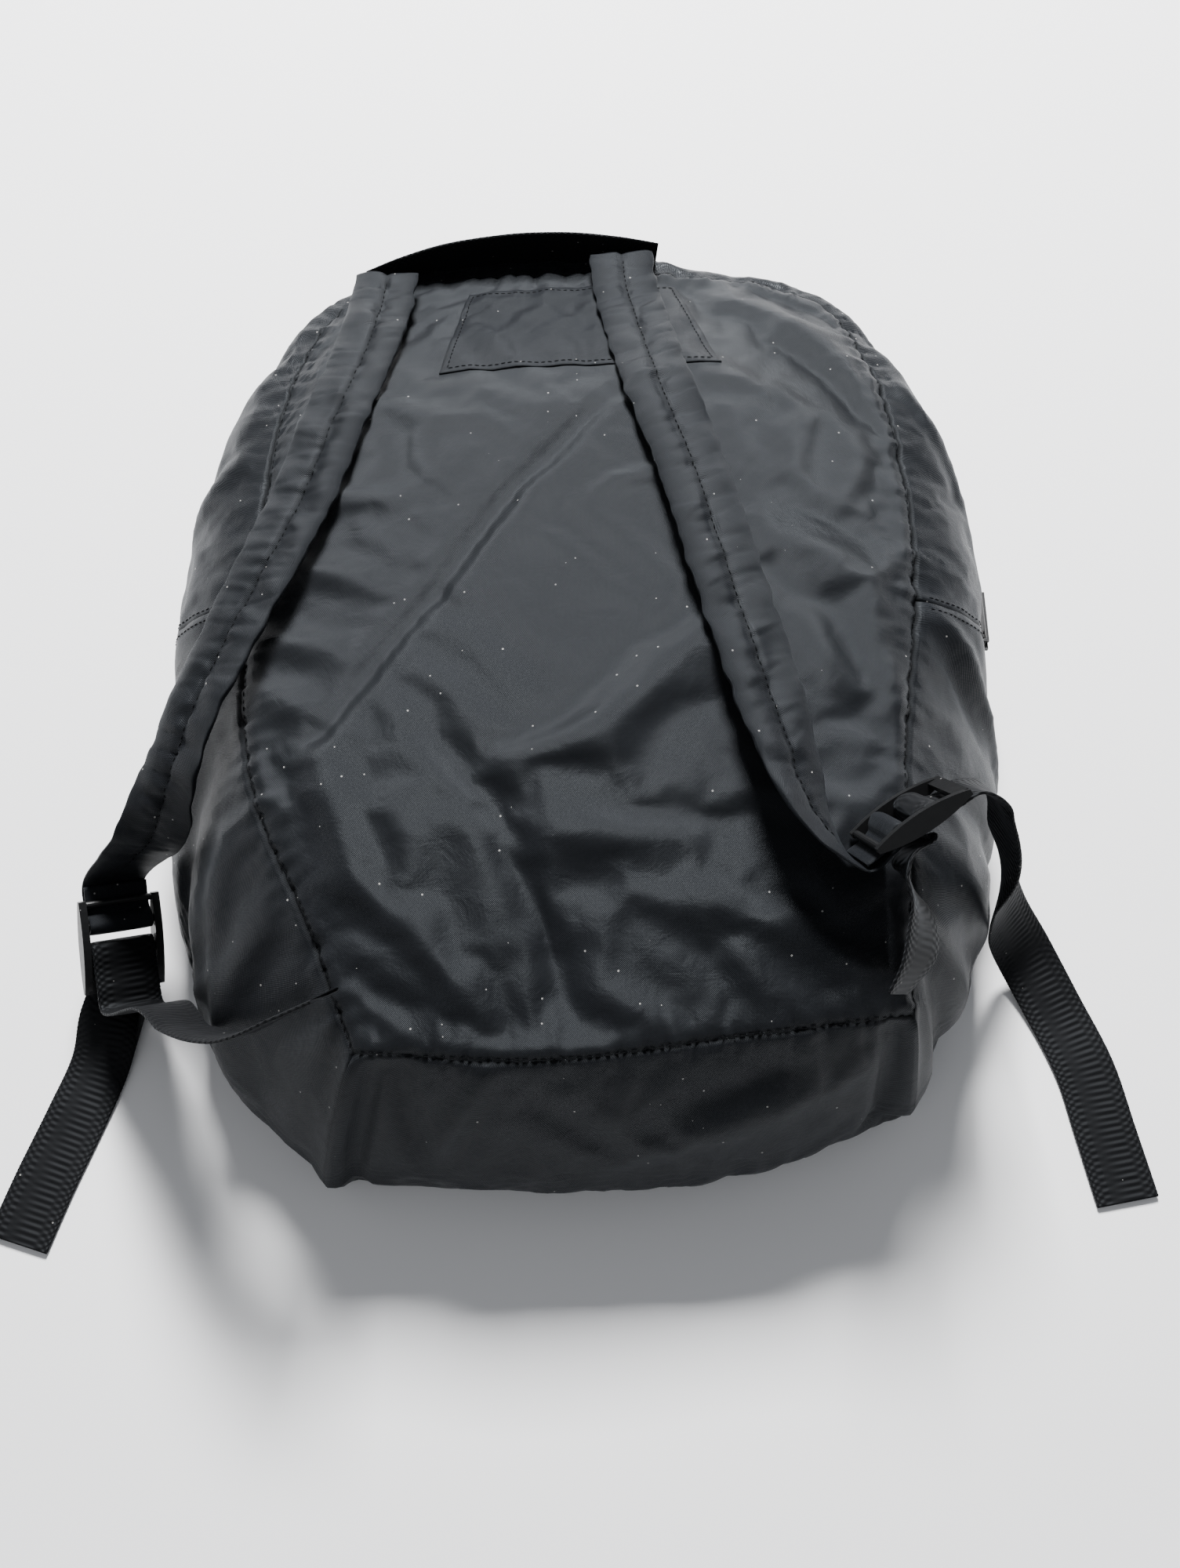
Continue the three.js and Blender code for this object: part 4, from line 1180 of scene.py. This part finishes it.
right_web_path = [
    web(107, -146, 101, 0.5, 0.3, -0.81), web(114, -135, 108, 0.6, 0.25, -0.72),
    web(115, -122, 112, 0.5, 0.1, -0.82), web(111, -110, 115, 0.3, -0.1, -0.93),
    web(110.5, -103, 116.5, -0.02, 0.3, -0.95),
] + in_lock("right", [(-1.2, -9), (-1.6, -3.4), (-0.7, 1.6), (3, 3.1), (7.2, 1.6), (9.4, -1.6), (14.5, -3.2),
                      (22, -3.4)], WEB, WEB_THICK) + [
    web(143, -78, 117, -0.1, 0.62, -0.7), web(149, -82, 106, -0.25, 0.85, -0.35),
    web(154, -87, 86, -0.3, 0.9, 0), web(161, -90, 55, 0.3, 0.9, 0.2), web(170, -94, 26, 0.6, 0.75, 0.2),
    web(181, -103, 8, 0.84, 0.52, 0.1), web(191, -122, 2, 0.9, 0.43, 0), web(201, -148, 1.2, 0.93, 0.3, 0),
    web(206, -174, 1.2, 0.98, 0.15, 0), web(211, -201, 1.2, 1, 0.1, 0),
]
left_web_path = [
    web(-91, -148, 105.5, -0.15, 0.3, -0.94), web(-106, -153, 99, -0.1, 0.3, -0.94),
    web(-128, -156, 82, 0.05, 0.35, -0.93), web(-149, -148, 63, 0.2, 0.38, -0.9),
    web(-163, -136, 49, 0.5, 0.35, -0.79),
] + in_lock("left", [(24, 9), (16, 6), (9, 3.9), (3, 3.1), (-0.9, 1.4), (-1, -1.2), (3, -3.3), (9, -4.4),
                     (16, -6), (22, -7.5)], WEB, WEB_THICK) + [
    web(-196, -131, 7, 0.9, -0.25, -0.2), web(-199, -146, 2, 0.9, -0.4, 0),
    web(-206, -168, 1.2, 0.9, -0.42, 0), web(-215, -194, 1.2, 0.92, -0.36, 0),
    web(-222, -217, 1.2, 0.95, -0.28, 0),
]
RIB = 1.5


def ribbed_section(seed):
    """A flat section whose thickness and width beat once a rib, and which sways a little as it runs."""
    def section(angle, here):
        a, b = flat_section(angle, here)
        beat = math.cos(math.tau * here["run"] / RIB)
        sway = 0.25 * noise.noise(Vector((here["run"] / 22, a / 30, seed)))
        return a * (1 + 0.008 * beat), b + math.copysign(0.05 * beat, b) + sway

    return section


def webbing(name, path, count, seed):
    frames = band_frames(path, count)
    return band(name, frames, 26, ribbed_section(seed), webbing_cloth), frames


right_web, right_web_frames = webbing("woven_right_webbing", right_web_path, 520, 3.0)
left_web, left_web_frames = webbing("woven_left_webbing", left_web_path, 480, 11.0)
print("webbing lengths: %.0f and %.0f mm" % (right_web_frames["run"][-1], left_web_frames["run"][-1]))

# %% [markdown]
# The grab handle is a short length of the same webbing between the two straps. It stands on its edge along the
# top seam and bows outwards, because it is sewn down a little shorter than the seam it spans.

# %% grab handle
handle_path = [(x, y, z, 0, lean, 1, WEB, 1.6) for x, y, z, lean in (
    (-99, 193, 79, -0.3), (-84, 198, 81.5, -0.26), (-64, 203, 84, -0.22), (-38, 206.5, 85.5, -0.2),
    (-12, 207.6, 86, -0.2), (10, 206.5, 85, -0.22), (30, 204, 83.5, -0.24))]
handle_frames = band_frames(handle_path, 220)
handle = band("woven_grab_handle", handle_frames, 26, ribbed_section(23.0), webbing_cloth)
print("handle length: %.0f mm" % handle_frames["run"][-1])

# %% [markdown]
# The reinforcement patch is a trapezoid of nylon laid on the back panel under the strap ends. It follows the
# folds of the cloth below it, so its height comes from casting a ray down onto the skin.

# %% reinforcement patch
PATCH_LOW, PATCH_TALL, PATCH_TOP_SHARE = 118.0, 62.0, 0.78  # width below, height, and the top's share of it


def patch_point(u, v, lift):
    width = PATCH_LOW * (1 + (PATCH_TOP_SHARE - 1) * v)
    x = -4 - 4 * v + (u - 0.5) * width
    y = 122 + PATCH_TALL * v + (u - 0.5) * 5
    top = at((x, y, 200))
    hit, _, _, _ = skin_tree.ray_cast(Vector(top), Vector((0, 0, -1)))
    z = hit.z / MM if hit is not None else back_height(x, y)
    return x, y, max(z, back_height(x, y) - 2.5) + lift


def build_patch():
    bm = grid_mesh(96, 52)
    for v in bm.verts:
        u, w = v.co.x, v.co.y
        edge = min(u, 1 - u, w * 0.6, (1 - w) * 0.6)
        gathered = 0.5 * math.exp(-edge / 0.05) * noise.noise(Vector((u * 16, w * 10, 5)))
        ripple = 0.9 * smooth(0.2, 0.8, w) * noise.noise(Vector((u * 7, w * 6, 2))) * smooth(0, 0.1, edge)
        puff = 0.7 * float(smooth(0.0, 0.1, edge))
        v.co = Vector(at(patch_point(u, w, 0.65 + puff + gathered + ripple)))
    bmesh.ops.recalc_face_normals(bm, faces=bm.faces)
    if sum(f.normal.z for f in bm.faces) < 0:
        bmesh.ops.reverse_faces(bm, faces=bm.faces)
    for face in bm.faces:
        face.smooth = True
    made = new_object("cloth_reinforcement_patch", bm, strap_nylon)
    cloth_uv(made, top_uv)
    return made


patch = build_patch()
print("patch:", len(patch.data.polygons), "faces")

# %% [markdown]
# One row of stitches runs round inside the patch's edge. It needs the bare patch below it, so the patch gets
# its thickness only afterwards.

# %% stitches round the patch
border = [(u, 0.045) for u in np.linspace(0.025, 0.975, 60)] + [(0.975, v) for v in np.linspace(0.045, 0.96, 30)]
border += [(u, 0.96) for u in np.linspace(0.975, 0.025, 60)] + [(0.025, v) for v in np.linspace(0.96, 0.045, 30)]
border_line = at([patch_point(u, v, 1.0) for u, v in border])
patch_stitches = stitch_line("patch_stitches", border_line, np.tile([0.0, 0, 1], (len(border), 1)), tree_of(patch),
                             pitch=2.8, length=2.1)
thicken(patch, 0.0006)
print("patch stitches:", stitch_count(patch_stitches))

# %% [markdown]
# Where the zip gusset ends it is folded over the side gusset and sewn down with two rows of stitches.

# %% the double row at each end of the zip gusset
def gusset_end_line(k, shift):
    rows = np.linspace(ZIP_HIGH + 1, RING_ROWS - 0.8, 30)
    along = unit(gusset_point(k + 1, 20) - gusset_point(k - 1, 20))
    return at([gusset_point(k, row) + along * shift for row in rows])


def gusset_end_stitches(side, k):
    pieces = []
    for number, shift in enumerate((-2.6, 2.6)):
        line = gusset_end_line(k, shift)
        out = unit(line - np.array([X0, Y0 + 0.015, 0.06]))
        out[:, 2] = 0.35
        pieces.append(stitch_line(f"{side}_gusset_stitches_{number + 1}", line, unit(out), skin_tree, pitch=2.8))
    return pieces


gusset_stitches = gusset_end_stitches("right", RING) + gusset_end_stitches("left", ARCH)
for piece in gusset_stitches:
    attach(piece, "bag")
print("gusset stitches:", [stitch_count(piece) for piece in gusset_stitches])

# %% [markdown]
# The seam round the back panel is held by one long row of stitches just inside it. Each lies in the groove
# that was pressed into the skin, where it shows as a dark dash between the puckers.

# %% stitches along the seam of the back panel
seam_loop = at(np.vstack([seam, seam[:1]]))
inward = at((0, 15, 0)) - seam_loop
inward[:, 2] = 0
seam_row = seam_loop + unit(inward) * 0.0012
seam_stitches = stitch_line("back_seam_stitches", seam_row, np.tile([0.0, 0, 1], (len(seam_row), 1)), skin_tree,
                            pitch=3.2, length=2.4, fat=0.5)
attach(seam_stitches, "bag")
print("back seam stitches:", stitch_count(seam_stitches))

# %% [markdown]
# ## Hard parts
# The CAD lock and zip slider already have the right shape but knife edges. A copy is merged, its flat faces are
# joined up again and every sharp edge gets a small rounded bevel, which also carries the rub.

# %% bevelled copies
def rounded_copy(node, name, material, width):
    bm = bmesh.new()
    bm.from_mesh(bpy.data.objects[node].data)
    bmesh.ops.remove_doubles(bm, verts=bm.verts, dist=1e-6)
    bmesh.ops.dissolve_limit(bm, angle_limit=math.radians(1.5), verts=bm.verts, edges=bm.edges)
    sharp = [e for e in bm.edges if e.is_manifold and e.calc_face_angle(0) > math.radians(32)]
    rub = bm.loops.layers.float.new("rub")
    done = bmesh.ops.bevel(bm, geom=sharp, offset=width, offset_type="OFFSET", affect="EDGES", segments=2,
                           profile=0.5, material=-1, clamp_overlap=True)
    for face in done["faces"]:
        for loop in face.loops:
            loop[rub] = 1.0
    bmesh.ops.triangulate(bm, faces=[f for f in bm.faces if len(f.verts) > 4])
    bmesh.ops.recalc_face_normals(bm, faces=bm.faces)
    for face in bm.faces:
        face.smooth = False
    made = new_object(name, bm, material)
    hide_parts(node)
    return made


right_lock = rounded_copy("right_ladder_lock", "moulded_right_ladder_lock", lock_plastic, 0.0004)
left_lock = rounded_copy("left_ladder_lock", "moulded_left_ladder_lock", lock_plastic, 0.0004)
slider = rounded_copy("zip_slider", "cast_zip_slider", slider_metal, 0.0003)
pull = rounded_copy("zip_pull", "cast_zip_pull", slider_metal, 0.00025)
stops = [rounded_copy(f"zip_stop_{side}", f"crimped_zip_stop_{side}", slider_metal, 0.00025)
         for side in ("right", "left")]
print("hard parts:", [o.name for o in (right_lock, left_lock, slider, pull, *stops)])

# %% [markdown]
# ## The zip
# Each half is a woven tape with a coil of nylon along its edge. The coil is drawn turn by turn as small lenses
# across the zip, which is all of it that shows.

# %% tapes and coils
ZIP_TURN = ZIP_ENDS[1] - ZIP_ENDS[0]
COIL_TURNS = 340


def zip_tape(name, z_low, z_high, node):
    bm = grid_mesh(280, 4)
    uv = bm.loops.layers.uv.new("cloth")
    for face in bm.faces:
        for loop in face.loops:
            loop[uv].uv = (loop.vert.co.x * 0.551, loop.vert.co.y * 0.008)
    for v in bm.verts:
        angle = math.radians(ZIP_ENDS[0] + ZIP_TURN * v.co.x)
        height = z_low + (z_high - z_low) * v.co.y
        wave = 0.12 * noise.noise(Vector((v.co.x * 90, v.co.y, 4)))
        radius = ZIP_R - 0.1 + wave
        v.co = Vector(at((ZIP_X + radius * math.cos(angle), ZIP_Y + radius * math.sin(angle), height)))
    bmesh.ops.recalc_face_normals(bm, faces=bm.faces)
    if sum(f.normal.dot(f.calc_center_median() - Vector((X0, Y0, f.calc_center_median().z))) for f in bm.faces) < 0:
        bmesh.ops.reverse_faces(bm, faces=bm.faces)
    bmesh.ops.solidify(bm, geom=bm.faces, thickness=0.0006)
    for face in bm.faces:
        face.smooth = True
    made = new_object(name, bm, tape_cloth)
    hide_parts(node)
    return made


def zip_coil(name, z, node):
    bm = bmesh.new()
    margin = math.degrees(3.6 / ZIP_R)
    for k in range(COIL_TURNS):
        angle = math.radians(ZIP_ENDS[0] + margin + (ZIP_TURN - 2 * margin) * (k + 0.5) / COIL_TURNS)
        out = Vector((math.cos(angle), math.sin(angle), 0))
        along = Vector((-out.y, out.x, 0))
        centre = Vector(at((ZIP_X + 168.4 * out.x, ZIP_Y + 168.4 * out.y, z)))
        turn = bmesh.ops.create_uvsphere(bm, u_segments=6, v_segments=4, radius=1.0)
        for v in turn["verts"]:
            local = v.co.copy()
            v.co = centre + along * (local.x * 0.0006 + local.z * 0.0003) + out * local.y * 0.0009
            v.co.z += local.z * 0.00098
    rub = bm.verts.layers.float.new("rub")
    for v in bm.verts:
        v[rub] = 0.15
    for face in bm.faces:
        face.smooth = True
    bmesh.ops.recalc_face_normals(bm, faces=bm.faces)
    made = new_object(name, bm, coil_nylon)
    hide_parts(node)
    return made


rear_tape = zip_tape("woven_zip_tape_rear", 48.05, 56.05, "zip_tape_rear")
front_tape = zip_tape("woven_zip_tape_front", 33.95, 41.95, "zip_tape_front")
rear_coil = zip_coil("zip_teeth_rear", 46.7, "zip_coil_rear")
front_coil = zip_coil("zip_teeth_front", 43.3, "zip_coil_front")
print("zip:", COIL_TURNS, "turns a side, tapes of", len(rear_tape.data.polygons), "faces")

# %% [markdown]
# ## Bodies
# Cloth that crosses a joint is blended between its two bodies: a strap bends where it leaves the top seam, and
# each webbing lifts in its middle with the lock while its sewn end and its loose end stay where they are.
# Everything hard rides on one body.

# %% bodies
def across_joint(piece, body, start, end):
    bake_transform(piece, "bag", body, start=tuple(at(start)), end=tuple(at(end)))


across_joint(right_strap, "right_strap", (14, 199, 92), (17, 172, 92))
across_joint(right_stitches, "right_strap", (14, 199, 92), (17, 172, 92))
across_joint(left_strap, "left_strap", (-90, 190, 92), (-92, 160, 92))
across_joint(left_stitches, "left_strap", (-90, 190, 92), (-92, 160, 92))
across_joint(right_web, "right_strap", (84, -190, 90), (121, -120, 90))
across_joint(left_web, "left_strap", (-157, -182, 60), (-193, -113, 60))
for piece, body in ((right_lock, "right_strap"), (left_lock, "left_strap"), (handle, "handle"), (slider, "slider"),
                    (pull, "pull"), (patch, "bag"), (patch_stitches, "bag"), (rear_tape, "bag"),
                    (front_tape, "bag"), (rear_coil, "bag"), (front_coil, "bag"), *((s, "bag") for s in stops)):
    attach(piece, body)
for piece, node in ((right_strap, "right_shoulder_strap"), (left_strap, "left_shoulder_strap"),
                    (right_web, "right_webbing"), (left_web, "left_webbing"), (handle, "grab_handle"),
                    (patch, "reinforcement_patch")):
    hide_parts(node)
    print(piece.name, "stands for", node)
